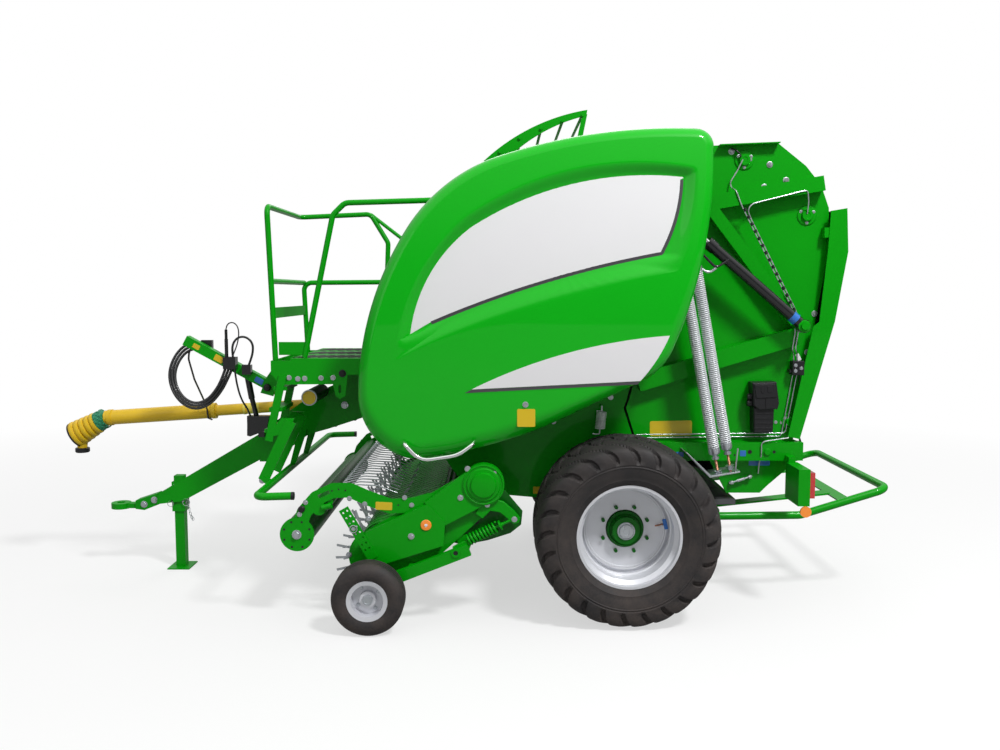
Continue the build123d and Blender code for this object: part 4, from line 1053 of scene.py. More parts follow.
    def build(self, paint: Paintbox) -> None:
        """Builds the cover and what is on it."""
        body = f"cover_{self.tag}"
        shell = paint.add(f"cover_shell_{self.tag}", [self.shell()], Look.COVER, body, sharp=28.0)
        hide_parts(f"side_cover_{self.tag}")
        white, stripe = self.panel_foils()
        wedge, under = self.lower_foils()
        paint.add(f"cover_foils_{self.tag}", [white, wedge], Look.WHITE, body, sharp=40.0)
        paint.add(f"cover_stripes_{self.tag}", [stripe, under], Look.STRIPE, body, sharp=40.0)
        plate_y = float(self.depth(np.array(1.19)))
        low, high = outward(self.side, plate_y - 0.001, plate_y + 0.0035)
        outline = rounded_rectangle(0.417, 1.190, 0.102, 0.102, 0.008)
        paint.add(f"cover_plate_{self.tag}", [plate(outline, low, high, 0.001)], Look.BLANK_YELLOW, body)
        bolts = [
            bolt((0.413, self.side * float(self.depth(np.array(1.2657))), 1.2657), (0, self.side, 0), 0.011)
        ]
        paint.add(f"cover_bolts_{self.tag}", bolts, Look.ZINC, body)
        grip = [
            (-0.272, 1.130, 1.052), (-0.262, 1.166, 1.042), (-0.178, 1.170, 0.951), (0.036, 1.170, 0.984),
            (0.112, 1.166, 1.040), (0.124, 1.130, 1.054),
        ]
        path = rounded([(x, self.side * y, z) for x, y, z in grip], 0.070)
        handle = paint.add(f"cover_grip_{self.tag}", [tube(path, 0.0115, 20)], Look.CHROME, body, sharp=50.0)
        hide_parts(f"cover_handle_{self.tag}")


def rounded_rectangle(
    x: float, z: float, width: float, height: float, radius: float, tilt: float = 0.0,
) -> np.ndarray:
    """The outline of a rectangle with round corners, turned by an angle about its middle."""
    quarter = np.linspace(0, math.pi / 2, 5)
    places = []
    for number, (sx, sz) in enumerate(((1, 1), (-1, 1), (-1, -1), (1, -1))):
        turn = quarter + number * math.pi / 2
        middle = np.array([sx * (width / 2 - radius), sz * (height / 2 - radius)])
        places.append(middle + radius * np.stack([np.cos(turn), np.sin(turn)], axis=1))
    flat = np.vstack(places)
    c, s = math.cos(tilt), math.sin(tilt)
    return flat @ np.array([[c, s], [-s, c]]) + (x, z)


def aligned(shell: Surface, origin: Sequence[float], direction: Sequence[float]) -> Surface:
    """Turns a shell made along Z to a direction and puts its foot at an origin."""
    way = unit(np.asarray(direction, float))
    least = np.eye(3)[np.argmin(np.abs(way))]
    across = unit(np.cross(way, least))
    other = np.cross(way, across)
    turn = np.stack([across, other, way], axis=1)
    return shell.mapped(lambda points: points @ turn.T + np.asarray(origin, float))


def stood(
    profile: Rows, place: Sequence[float], way: Sequence[float], segments: int, loop: bool = False,
) -> Surface:
    """A turned piece with its foot at a place, standing out along a direction.

    Args:
        profile: Radius and height, one pair a row.
        place: Where its foot is.
        way: The direction of its axis.
        segments: Points round the piece.
        loop: Whether the profile closes on itself.

    Returns:
        The surface.
    """
    return aligned(turned(profile, ORIGIN, 2, segments, loop), place, way)


def paired(profile: Sequence[Flat], x: float, z: float, segments: int, loop: bool = False) -> list[Surface]:
    """The same turned piece on both sides of the machine, about a line along Y.

    Args:
        profile: Radius and distance from the centre plane, one pair a row.
        x: The line's place along the machine.
        z: The line's height.
        segments: Points round the piece.
        loop: Whether the profile closes on itself.

    Returns:
        The left one and the right one.
    """
    return [turned([(r, side * y) for r, y in profile], (x, 0, z), 1, segments, loop) for side in BOTH]


def bolt(place: Sequence[float], direction: Sequence[float], size: float, turn: float = 0.3) -> Surface:
    """A hexagon bolt head on its washer, standing out from a face.

    Args:
        place: The point on the face.
        direction: The way it stands out.
        size: Radius of the head's corners.
        turn: Angle of the head about its axis.

    Returns:
        One closed surface: washer, head and its rounded top.
    """
    levels = (
        (1.55, -0.05, False), (1.55, 0.16, False), (1.45, 0.20, False), (1.02, 0.20, True), (1.0, 0.26, True),
        (1.0, 0.78, True), (0.90, 0.86, False), (0.2, 0.88, False),
    )
    count = 12
    angles = full_turn(count) + turn
    hexagon = np.where(np.arange(count) % 2 == 0, 1.0, math.cos(math.pi / 6))
    rings = []
    for reach, height, cornered in levels:
        away = size * reach * (hexagon if cornered else 1.0)
        rings.append(
            np.column_stack([away * np.cos(angles), away * np.sin(angles), np.full(count, size * height)])
        )
    caps = [np.arange(count)[::-1], np.arange(count) + count * (len(rings) - 1)]
    return aligned(
        Surface(np.vstack(rings), grid_quads(len(rings), count, False, True), caps), place, direction,
    )


# ---------------------------------------------------------------- wheels
@dataclass
class FlotationTyre:
    """A wide flotation tyre: curved lugs over the shoulders, rings on the sidewalls and round beads."""

    side: int
    tag: str
    radius: float = 0.530
    lugs: int = 24
    columns: int = 864
    groove_depth: float = 0.023
    groove_width: float = 0.024
    sweep: float = 0.48
    bite_share: float = 0.7
    slot_share: float = 0.6
    dip_share: float = 0.30

    def profile(self) -> tuple[np.ndarray, np.ndarray]:
        """The tyre's outside, and how far each of its points lies from the tread's middle.

        Returns:
            Radius and place across from bead to bead, and each point's place from -1 to 1 over the lugs.
        """
        side = spline(
            [
                (self.radius, 0.0), (self.radius - 0.001, 0.09), (self.radius - 0.004, 0.16), (0.517, 0.222),
                (0.500, 0.258), (0.470, 0.274), (0.440, 0.2795), (0.417, 0.2797),
            ],
            30,
        )
        wall = np.array(
            [
                (0.4135, 0.2770), (0.4085, 0.2770), (0.4055, 0.2797), (0.4020, 0.2797), (0.3990, 0.2765),
                (0.380, 0.2740), (0.350, 0.266), (0.334, 0.2600), (0.330, 0.2605), (0.326, 0.2570),
                (0.312, 0.249), (0.300, 0.240), (0.2925, 0.2335), (0.2903, 0.226),
            ]
        )
        half = np.vstack([side, wall])
        whole = np.vstack([half[::-1] * (1, -1), half[1:]])
        span = np.hypot(*np.diff(side, axis=0).T).cumsum()
        place = np.concatenate([[0.0], span / span[-1], np.full(len(wall), 1.2)])
        return whole, np.concatenate([-place[::-1], place[1:]])

    def shell(self, centre: Point) -> Surface:
        """The tyre's surface, with its grooves pressed in.

        Args:
            centre: The wheel's centre.

        Returns:
            The surface, closed inside between the beads.
        """
        profile, place = self.profile()
        turns = full_turn(self.columns)
        pitch = 2 * math.pi / self.lugs
        away = np.abs(place)[:, None]
        # a groove starts beside the tread's middle, sweeps back over the shoulder and ends along the radius
        lead = self.sweep * np.sin(np.clip(away, 0, 1) * math.pi / 2) ** 2
        offset = np.where(place < 0, 0.5 * pitch, 0.0)[:, None]
        phase = (turns[None] + lead + offset) / pitch
        near = np.abs((phase + 0.5) % 1.0 - 0.5) * pitch * profile[:, :1]
        wide = self.groove_width * (0.8 + 0.6 * smooth(away, 0.35, 0.75) - 0.55 * smooth(away, 0.85, 1.0))
        groove = 1 - smooth(near, 0.35 * wide, 0.62 * wide)
        reach = smooth(away, 0.05, 0.09) * (1 - smooth(away, 0.93, 1.0))
        # short cross bites near the tread's middle
        bite_phase = (turns[None] - 0.6 * lead + 0.5 * pitch + offset) / pitch
        bite_near = np.abs((bite_phase + 0.5) % 1.0 - 0.5) * pitch * profile[:, :1]
        bite_reach = smooth(away, 0.02, 0.06) * (1 - smooth(away, 0.30, 0.38))
        bite = (1 - smooth(bite_near, 0.004, 0.009)) * bite_reach
        slot = (1 - smooth(away, 0.012, 0.035)) * np.ones_like(phase)
        cuts = np.maximum(np.maximum(groove * reach, self.bite_share * bite), self.slot_share * slot)
        deep = self.groove_depth * cuts
        # each lug's face dips towards its trailing groove
        behind = np.mod(phase, 1.0)
        deep = np.maximum(deep, self.dip_share * self.groove_depth * smooth(behind, 0.45, 0.95) * reach)
        along = unit(np.gradient(profile, axis=0))
        normal = np.stack([along[:, 1], -along[:, 0]], axis=1)
        inward = -np.sign(normal[:, :1] + normal[:, 1:] * np.sign(profile[:, 1:]))
        radial = profile[:, :1] + inward * normal[:, :1] * deep
        across = profile[:, 1:] + inward * normal[:, 1:] * deep
        points = np.stack(
            [
                centre[0] + radial * np.cos(turns),
                np.broadcast_to(centre[1] + across, radial.shape),
                centre[2] + radial * np.sin(turns),
            ],
            axis=-1,
        )
        return Surface(points.reshape(-1, 3), grid_quads(len(profile), self.columns, True, True))

    def build(self, paint: Paintbox) -> None:
        """Builds the tyre in place of its plain solid."""
        low, high = (np.asarray(corner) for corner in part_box(f"tyre_{self.tag}"))
        centre = tuple((low + high) / 2)
        piece = paint.add(
            f"tyre_tread_{self.tag}", [self.shell(centre)], Look.TYRE, f"wheel_{self.tag}", sharp=32.0,
        )
        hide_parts(f"tyre_{self.tag}")


@dataclass
class RibbedTyre:
    """A small pneumatic gauge tyre with four ribs round its tread."""

    tag: str
    ribs: tuple[float, ...] = (-0.0375, -0.0125, 0.0125, 0.0375)
    rib_half: float = 0.009
    rib_depth: float = 0.008
    stud_circle: float = 0.068

    def build(self, paint: Paintbox) -> None:
        """Builds the tyre in place of its plain solid."""
        low, high = (np.asarray(corner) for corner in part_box(f"gauge_tyre_{self.tag}"))
        centre = (low + high) / 2
        radius, half = (high - low)[2] / 2, (high - low)[1] / 2
        tread = []
        foot = radius - self.rib_depth
        for rib in self.ribs:
            tread += [
                (radius, rib - self.rib_half), (radius, rib + self.rib_half), (foot, rib + 0.0102),
                (foot, rib + 0.0148),
            ]
        right = [
            (radius - 0.003, 0.052), (radius - 0.012, 0.064), (radius - 0.028, half - 0.005),
            (radius - 0.055, half), (radius - 0.078, half - 0.005), (0.1205, 0.0745), (0.116, 0.0735),
            (0.112, 0.071), (0.103, 0.0625),
        ]
        left = [(r, -y) for r, y in right[::-1]]
        profile = np.array([*left, *tread[:-2], *right])
        piece = paint.add(
            f"gauge_tread_{self.tag}", [turned(profile, centre, 1, 96, loop=True)], Look.TYRE,
            f"gauge_wheel_{self.tag}", sharp=30.0,
        )
        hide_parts(f"gauge_tyre_{self.tag}")
        side = 1 if centre[1] > 0 else -1
        cap = [
            (0.030, 0.0395), (0.030, 0.046), (0.0285, 0.050), (0.022, 0.052), (0.020, 0.049), (0.004, 0.049),
        ]
        paint.add(
            f"gauge_cap_{self.tag}", [turned([(r, side * y) for r, y in cap], centre, 1, 32)], Look.ZINC,
            f"gauge_wheel_{self.tag}",
        )
        studs = [
            bolt(
                centre + (self.stud_circle * math.cos(a), side * 0.006, self.stud_circle * math.sin(a)),
                (0, side, 0), 0.008,
            )
            for a in (0.6, 2.17, 3.74, 5.31)
        ]
        paint.add(f"gauge_studs_{self.tag}", studs, Look.ZINC, f"gauge_wheel_{self.tag}")


@dataclass
class WheelTrim:
    """What shows on a main wheel's outside: hub cap, valve with its tag, and the rim's rings."""

    side: int
    tag: str
    ring_back: float = 0.042
    dish_back: float = 0.0625
    valve_back: float = 0.058
    tag_back: float = 0.048

    def build(self, paint: Paintbox) -> None:
        """Builds the trim."""
        low, high = (np.asarray(corner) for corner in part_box(f"hub_{self.tag}"))
        middle = (low + high) / 2
        out = high[1] if self.side > 0 else low[1]
        body = f"wheel_{self.tag}"
        cap = np.array(
            [
                (0.052, -0.004), (0.052, 0.004), (0.050, 0.007), (0.0455, 0.008), (0.0445, 0.005),
                (0.041, 0.005), (0.040, 0.014), (0.038, 0.017), (0.030, 0.0185), (0.018, 0.019),
                (0.016, 0.0165), (0.004, 0.0165),
            ]
        )
        cap[:, 1] *= self.side
        paint.add(f"hub_cap_{self.tag}", [turned(cap, (middle[0], out, middle[2]), 1, 48)], Look.ZINC, body)
        rings = np.array(
            [(0.084, 0.0), (0.090, 0.0), (0.094, 0.004), (0.098, 0.004), (0.102, -0.002), (0.084, -0.004)]
        )
        rings[:, 1] *= self.side
        face = out - self.side * self.ring_back
        # hub rings in the darkened green: painted shade
        paint.add(
            f"hub_ring_{self.tag}", [turned(rings, (middle[0], face, middle[2]), 1, 48, loop=True)],
            Look.GREEN_SHADED, body,
        )
        steps = []
        dish = out - self.side * self.dish_back
        for radius, top, wide in ((0.226, 0.006, 0.006), (0.236, 0.012, 0.007)):
            lip = 0.6 * wide
            low, high = radius - wide, radius + wide
            steps.append([(low, -0.004), (radius - lip, top), (radius + lip, top + 0.002), (high, -0.004)])
        for radius, back in ((0.2520, 0.030), (0.2605, 0.075)):
            outer = radius + 0.008
            steps.append(
                [(outer, back), (radius, back + 0.004), (radius, back + 0.026), (outer, back + 0.030)]
            )
        rim = [
            turned([(r, self.side * y) for r, y in step], (middle[0], dish, middle[2]), 1, 96, loop=True)
            for step in steps
        ]
        paint.add(f"rim_steps_{self.tag}", rim, Look.SILVER, body, sharp=50.0)
        stem_foot = np.array([middle[0] + 0.222, out - self.side * self.valve_back, middle[2] + 0.026])
        bend, end = (-0.03, self.side * 0.012, -0.004), (-0.05, self.side * 0.016, -0.006)
        stem = tube(rounded([stem_foot, stem_foot + bend, stem_foot + end], 0.01), 0.0045, 10)
        paint.add(f"valve_{self.tag}", [stem], Look.COPPER, body)
        flat = rounded_rectangle(middle[0] + 0.232, middle[2] + 0.028, 0.022, 0.062, 0.004, 0.25)
        tag = plate(flat, -0.001, 0.001, 0.0004).moved((0, out - self.side * self.tag_back, 0))
        paint.add(f"valve_tag_{self.tag}", [tag], Look.BLANK_BLUE, body, slot="black_plastic")


# ---------------------------------------------------------------- hoses
@dataclass(frozen=True)
class Hose:
    """A free hose or cable: its route's points, its length and diameter, and the finish."""

    name: str
    route: tuple[Point, ...]
    length: float
    diameter: float
    look: Look = Look.HOSE
    lay: str = "hanging"

    def build(self, paint: Paintbox) -> None:
        """Builds it as one smooth curve through its route, in place of its plain solid."""
        curve = bpy.data.curves.new(f"{self.name}_line", "CURVE")
        curve.dimensions = "3D"
        curve.resolution_u = 8
        curve.bevel_depth = self.diameter / 2
        curve.bevel_resolution = 4
        curve.use_fill_caps = True
        line = curve.splines.new("NURBS")
        line.points.add(len(self.route) - 1)
        for point, place in zip(line.points, self.route):
            point.co = (*place, 1.0)
        line.order_u = 3
        line.use_endpoint_u = True
        curve.materials.append(paint.of(self.look))
        piece = bpy.data.objects.new(f"{self.name}_line", curve)
        bpy.context.scene.collection.objects.link(piece)
        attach(piece, "chassis")
        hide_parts(self.name)


def loop_hoses() -> list[Hose]:
    """The three hoses looped round the arm's front end, each drawn in more towards the loop's middle."""
    middle_x, middle_z, tie_low, holder = -1.610, 1.370, 1.4147, -1.6303
    outer = (
        (-1.630, -0.405, 1.575), (-1.715, -0.405, 1.575), (-1.790, -0.425, 1.505), (-1.829, -0.450, 1.395),
        (-1.810, -0.470, 1.285), (-1.745, -0.485, 1.195), (-1.655, -0.495, 1.155), (-1.560, -0.497, 1.185),
        (-1.485, -0.496, 1.270), (-1.440, -0.495, 1.355), (-1.414, -0.495, tie_low),
    )
    hoses = []
    for number, (scale, length) in enumerate(((1.0, 0.989), (0.91, 0.905), (0.82, 0.821))):
        route = [
            (
                middle_x + scale * (x - middle_x), y - 0.0013 * number * place,
                middle_z + scale * (z - middle_z),
            )
            for place, (x, y, z) in enumerate(outer)
        ]
        route[0] = (holder, *route[0][1:])
        route[-1] = (*route[-1][:2], tie_low)
        hoses.append(Hose(f"hose_loop_{number + 1}", tuple(route), length, 0.017))
    return hoses


HOSES = (
    Hose(
        "hose_arch",
        (
            (-1.405, -0.500, 1.4903), (-1.409, -0.501, 1.532), (-1.403, -0.502, 1.572),
            (-1.379, -0.503, 1.606), (-1.341, -0.505, 1.619), (-1.303, -0.505, 1.606),
            (-1.279, -0.504, 1.573), (-1.277, -0.503, 1.532), (-1.288, -0.502, 1.484),
            (-1.306, -0.501, 1.4403),
        ),
        0.377, 0.014, lay="loose",
    ),
    Hose(
        "cable_loop",
        (
            (-1.443, -0.505, 1.6613), (-1.438, -0.508, 1.685), (-1.421, -0.512, 1.702),
            (-1.398, -0.516, 1.707), (-1.376, -0.520, 1.696), (-1.362, -0.523, 1.673),
            (-1.357, -0.526, 1.640), (-1.361, -0.527, 1.602), (-1.372, -0.527, 1.560),
            (-1.388, -0.526, 1.523), (-1.401, -0.526, 1.4903),
        ),
        0.312, 0.008, lay="loose",
    ),
    Hose(
        "cable_drop",
        (
            (-1.391, -0.518, 1.4147), (-1.386, -0.514, 1.355), (-1.380, -0.497, 1.292),
            (-1.373, -0.463, 1.230), (-1.364, -0.415, 1.178), (-1.354, -0.368, 1.140),
            (-1.349, -0.338, 1.0973),
        ),
        0.3805, 0.012,
    ),
)


# ---------------------------------------------------------------- hardware
def bolts(points: Sequence[Flat], face: float, size: float, sides: Sequence[int] = BOTH) -> list[Surface]:
    """Bolt heads at places in the side plane, standing out from a face.

    Args:
        points: Their places, as X and Z.
        face: The face's distance from the centre plane.
        size: Radius of the heads' corners.
        sides: Which sides of the machine get them.

    Returns:
        One surface for each bolt.
    """
    return [
        bolt((x, s * face, z), (0, s, 0), size, 0.7 * n) for s in sides for n, (x, z) in enumerate(points)
    ]


def blank(
    x: float, z: float, width: float, height: float, face: float, side: int = -1, tilt: float = 0.0,
) -> Surface:
    """A thin blank plate with round corners on a face across Y."""
    low, high = outward(side, face - 0.0008, face + 0.0012)
    return plate(rounded_rectangle(x, z, width, height, min(width, height) * 0.12, tilt), low, high, 0.0004)


def side_circle(count: int) -> np.ndarray:
    """Points of a circle of radius one in the side plane, one a row."""
    turn = full_turn(count)
    return np.stack([np.cos(turn), 0 * turn, np.sin(turn)], axis=1)


def coil_spring(
    low: Sequence[float], high: Sequence[float], radius: float, wire: float, turns: float, sides: int = 6
) -> Surface:
    """A helical spring's wire between two points.

    Args:
        low: Foot of the coils.
        high: Head of the coils.
        radius: Radius of the wire's centre line.
        wire: Radius of the wire.
        turns: Number of coils.
        sides: Points round the wire.

    Returns:
        The wire as one tube.
    """
    low, high = np.asarray(low, float), np.asarray(high, float)
    way = high - low
    across = unit(np.cross(way, (0.0, 1.0, 0.0)))
    other = np.cross(unit(way), across)
    angle = np.linspace(0, 2 * math.pi * turns, int(turns * 16))
    path = low + np.outer(angle / angle[-1], way)
    return tube(
        path + radius * (np.outer(np.cos(angle), across) + np.outer(np.sin(angle), other)), wire, sides,
    )


@dataclass
class DriveShaft:
    """The drive shaft's guard at its front end: ribbed bell, perforated collar and a stripe on the tube."""

    start: Point = (-2.4303, 0.0, 1.037)
    axis: Point = (-0.87, 0.0, -0.49)
    nose: Point = (-2.598, 0.0, 0.795)
    tube_foot: Point = (-2.430, 0.0, 1.037)
    tube_way: Point = (0.730, 0.0, 0.048)
    bell_rings: int = 5
    ring_pitch: float = 0.03725
    collar_radius: float = 0.0655
    stud_rows: int = 3
    studs_round: int = 12

    def build(self, paint: Paintbox) -> None:
        """Builds the bell in place of its plain solid, and studs and rings on the collar."""
        way = unit(np.asarray(self.axis))
        ribs = [(0.030, 0.062)]
        for ring in range(self.bell_rings):
            wide, foot = 0.072 + 0.004 * ring, 0.0605 + self.ring_pitch * ring
            ribs += [
                (wide - 0.007, foot), (wide + 0.001, foot + 0.004), (wide + 0.003, foot + 0.011),
                (wide + 0.003, foot + 0.022), (wide - 0.001, foot + 0.028), (wide - 0.009, foot + 0.032),
            ]
        ribs += [
            (0.084, 0.2460), (0.086, 0.2465), (0.086, 0.240), (0.080, 0.238), (0.078, 0.190), (0.047, 0.186),
            (0.030, 0.186),
        ]
        bell = stood(ribs, self.start, way, 56, loop=True)
        piece = paint.add("bell_ribs", [bell], Look.BELL, "chassis", sharp=40.0)
        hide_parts("shaft_bell")
        lip = [
            (0.0862, 0.234), (0.0895, 0.237), (0.0895, 0.246), (0.0872, 0.248), (0.0845, 0.2475),
            (0.0845, 0.243), (0.0862, 0.241),
        ]
        paint.add("bell_lip", [stood(lip, self.start, way, 56, loop=True)], Look.PLASTIC, "chassis")
        neck = turned([(0.045, 0.095), (0.034, 0.060), (0.031, 0.030), (0.004, 0.029)], self.nose, 2, 40)
        paint.add("yoke_neck", [neck], Look.BELL, "chassis")
        grip = turned(
            [(0.020, 0.036), (0.043, 0.036), (0.047, 0.032), (0.047, 0.010), (0.042, 0.004), (0.020, 0.004)],
            self.nose, 2, 40, loop=True,
        )
        paint.add("yoke_grip", [grip], Look.PLASTIC, "chassis")
        studs = []
        for row in range(self.stud_rows):
            for turn in full_turn(self.studs_round) + 0.26 * row:
                out = np.array([math.cos(turn), math.sin(turn), 0.0])
                knob = stood([(0.0085, -0.003), (0.0085, 0.002), (0.006, 0.004)], ORIGIN, out, 8)
                studs.append(knob.moved(out * self.collar_radius + np.array([0, 0, 0.012 + 0.018 * row])))
        inner, outer = self.collar_radius, self.collar_radius + 0.003
        rings = [
            turned(
                [(inner, z), (outer, z + 0.001), (outer, z + 0.004), (inner, z + 0.005)], ORIGIN, 2, 40,
                loop=True,
            )
            for z in (0.001, 0.054)
        ]
        paint.add(
            "collar_studs", [aligned(part, self.start, way) for part in (*studs, *rings)], Look.TEAL,
            "chassis",
        )
        shaft = unit(np.array(self.tube_way))
        foot = np.array(self.tube_foot)
        spans = ((0.02, 0.05, 0.055), (0.735, 0.76, 0.054), (0.95, 0.965, 0.0395), (0.98, 1.06, 0.0380))
        *bands, ring, stripe = (tube([foot + shaft * a, foot + shaft * b], r, 32) for a, b, r in spans)
        paint.add("guard_bands", bands, Look.BELL, "chassis")
        paint.add("guard_tape", [stripe, ring], Look.TAPE, "chassis")


@dataclass
class FrontEnd:
    """Small parts of platform, steps, drawbar, jack and hose arm."""

    deck: float = 1.4942
    arm_face: float = 0.4805
    platform_y: float = 0.700
    pin_x: Flat = (-1.975, -1.900)
    pin_z: float = 0.470
    chain_links: int = 9
    arm_tilt: float = -math.atan2(293, 532)

    def build(self, paint: Paintbox) -> None:
        """Builds them all on the chassis."""
        plated = bolts(
            [(-1.010, 1.377), (-0.957, 1.370), (-0.915, 1.372), (-0.816, 1.375), (-0.743, 1.377)],
            self.platform_y, 0.0105, (-1,),
        )
        plated += bolts([(-1.184, 0.747)], 0.712, 0.013, (-1,))
        plated += bolts([(-0.759, 1.149), (-0.62, 1.18)], 0.200, 0.016)
        plated += bolts([(-1.31, 0.93), (-1.31, 0.80)], 0.060, 0.013)
        plated += bolts([(-1.915, 0.57), (-1.955, 0.57)], 0.044, 0.011)
        plated += bolts([(-2.10, 0.475), (-2.17, 0.445)], 0.046, 0.015)
        paint.add("front_bolts", plated, Look.ZINC, "chassis")
        dark = [
            bolt((-0.686, -self.platform_y, 1.403), (0, -1, 0), 0.015),
            stood(
                [(0.024, -0.002), (0.024, 0.008), (0.018, 0.018), (0.006, 0.022)], (-1.195, -0.4925, 1.296),
                (0, -1, 0), 20,
            ),
        ]
        for side in BOTH:
            dark.append(tube([(-0.9085, side * 1.150, 0.748), (-0.893, side * 1.150, 0.748)], 0.0228, 20))
        paint.add("front_caps", dark, Look.PLASTIC, "chassis")
        ladder = [box((-1.078, -0.905), (-0.662, -0.656), (1.512, 1.592), 0.0015)]
        paint.add("ladder_plate", ladder, Look.GREEN, "chassis")
        self._strips(paint)
        self._tool_tube(paint)
        self._plates(paint)
        self._jack(paint)

    def _strips(self, paint: Paintbox) -> None:
        """Diagonal grip strips on the deck."""
        strips = []
        for x in np.linspace(-0.965, -0.535, 8):
            for y in (-0.53, -0.18, 0.17):
                outline = rounded_rectangle(x, y, 0.030, 0.24, 0.006, -0.5)
                outline[:, 0] = np.clip(outline[:, 0], -0.998, -0.502)
                strips.append(plate(outline, self.deck - 0.001, self.deck + 0.0022, 0.0006, axis=2))
        paint.add("grip_strips", strips, Look.GRIT, "chassis")

    @staticmethod
    def _tool_tube(paint: Paintbox) -> None:
        """A closed tool tube under the deck, with a yellow lid in a silver ring."""
        place = (-0.911, 0.0, 1.243)
        wall = [(0.010, -0.592), (0.047, -0.592), (0.047, -0.201), (0.010, -0.201)]
        paint.add("tool_tube", [turned(wall, place, 1, 40)], Look.PLASTIC, "chassis")
        ring = [
            (0.040, -0.598), (0.043, -0.603), (0.048, -0.603), (0.050, -0.598), (0.050, -0.584),
            (0.040, -0.584),
        ]
        paint.add("tool_ring", [turned(ring, place, 1, 40, loop=True)], Look.ZINC, "chassis")
        lid = [
            (0.002, -0.6015), (0.026, -0.6015), (0.0265, -0.599), (0.033, -0.599), (0.0335, -0.6015),
            (0.0405, -0.6015), (0.0405, -0.590), (0.002, -0.590),
        ]
        paint.add("tool_lid", [turned(lid, place, 1, 40)], Look.BLANK_YELLOW, "chassis")

    def _plates(self, paint: Paintbox) -> None:
        """Blank plates on the hose arm."""
        sizes = ((-1.500, 1.476, 0.060, 0.040), (-1.640, 1.553, 0.045, 0.030))
        yellow = [blank(*size, self.arm_face, tilt=self.arm_tilt) for size in sizes]
        paint.add("arm_plates", yellow, Look.BLANK_YELLOW, "chassis")
        blue = [blank(-1.250, 1.338, 0.055, 0.035, self.arm_face, tilt=self.arm_tilt)]
        paint.add("arm_plate_blue", blue, Look.BLANK_BLUE, "chassis")

    def _jack(self, paint: Paintbox) -> None:
        """Pins, rings and a short chain at the jack."""
        parts = [tube([(x, -0.060, self.pin_z), (x, 0.060, self.pin_z)], 0.007, 12) for x in self.pin_x]
        circle = side_circle(20)
        for x, z, radius in ((-1.878, 0.462, 0.024), (-1.985, 0.452, 0.020)):
            parts.append(tube(np.array([x, -0.058, z]) + radius * circle, 0.0022, 8, closed=True))
        link = tube(np.array([0.0075, 0.0, 0.0115]) * circle, 0.0015, 6, closed=True)
        drop = np.linspace(0, 1, self.chain_links)
        sag = 0.02 * (2 * drop - 1) ** 2
        places = np.stack(
            [-1.868 + 0.034 * drop, np.full(self.chain_links, -0.058), 0.440 - 0.115 * drop + sag], axis=1,
        )
        crosswise = link.mapped(lambda points: points[:, [1, 0, 2]] * (-1, 1, 1))
        parts += [(crosswise if number % 2 else link).moved(place) for number, place in enumerate(places)]
        paint.add("jack_pins", parts, Look.ZINC, "chassis")


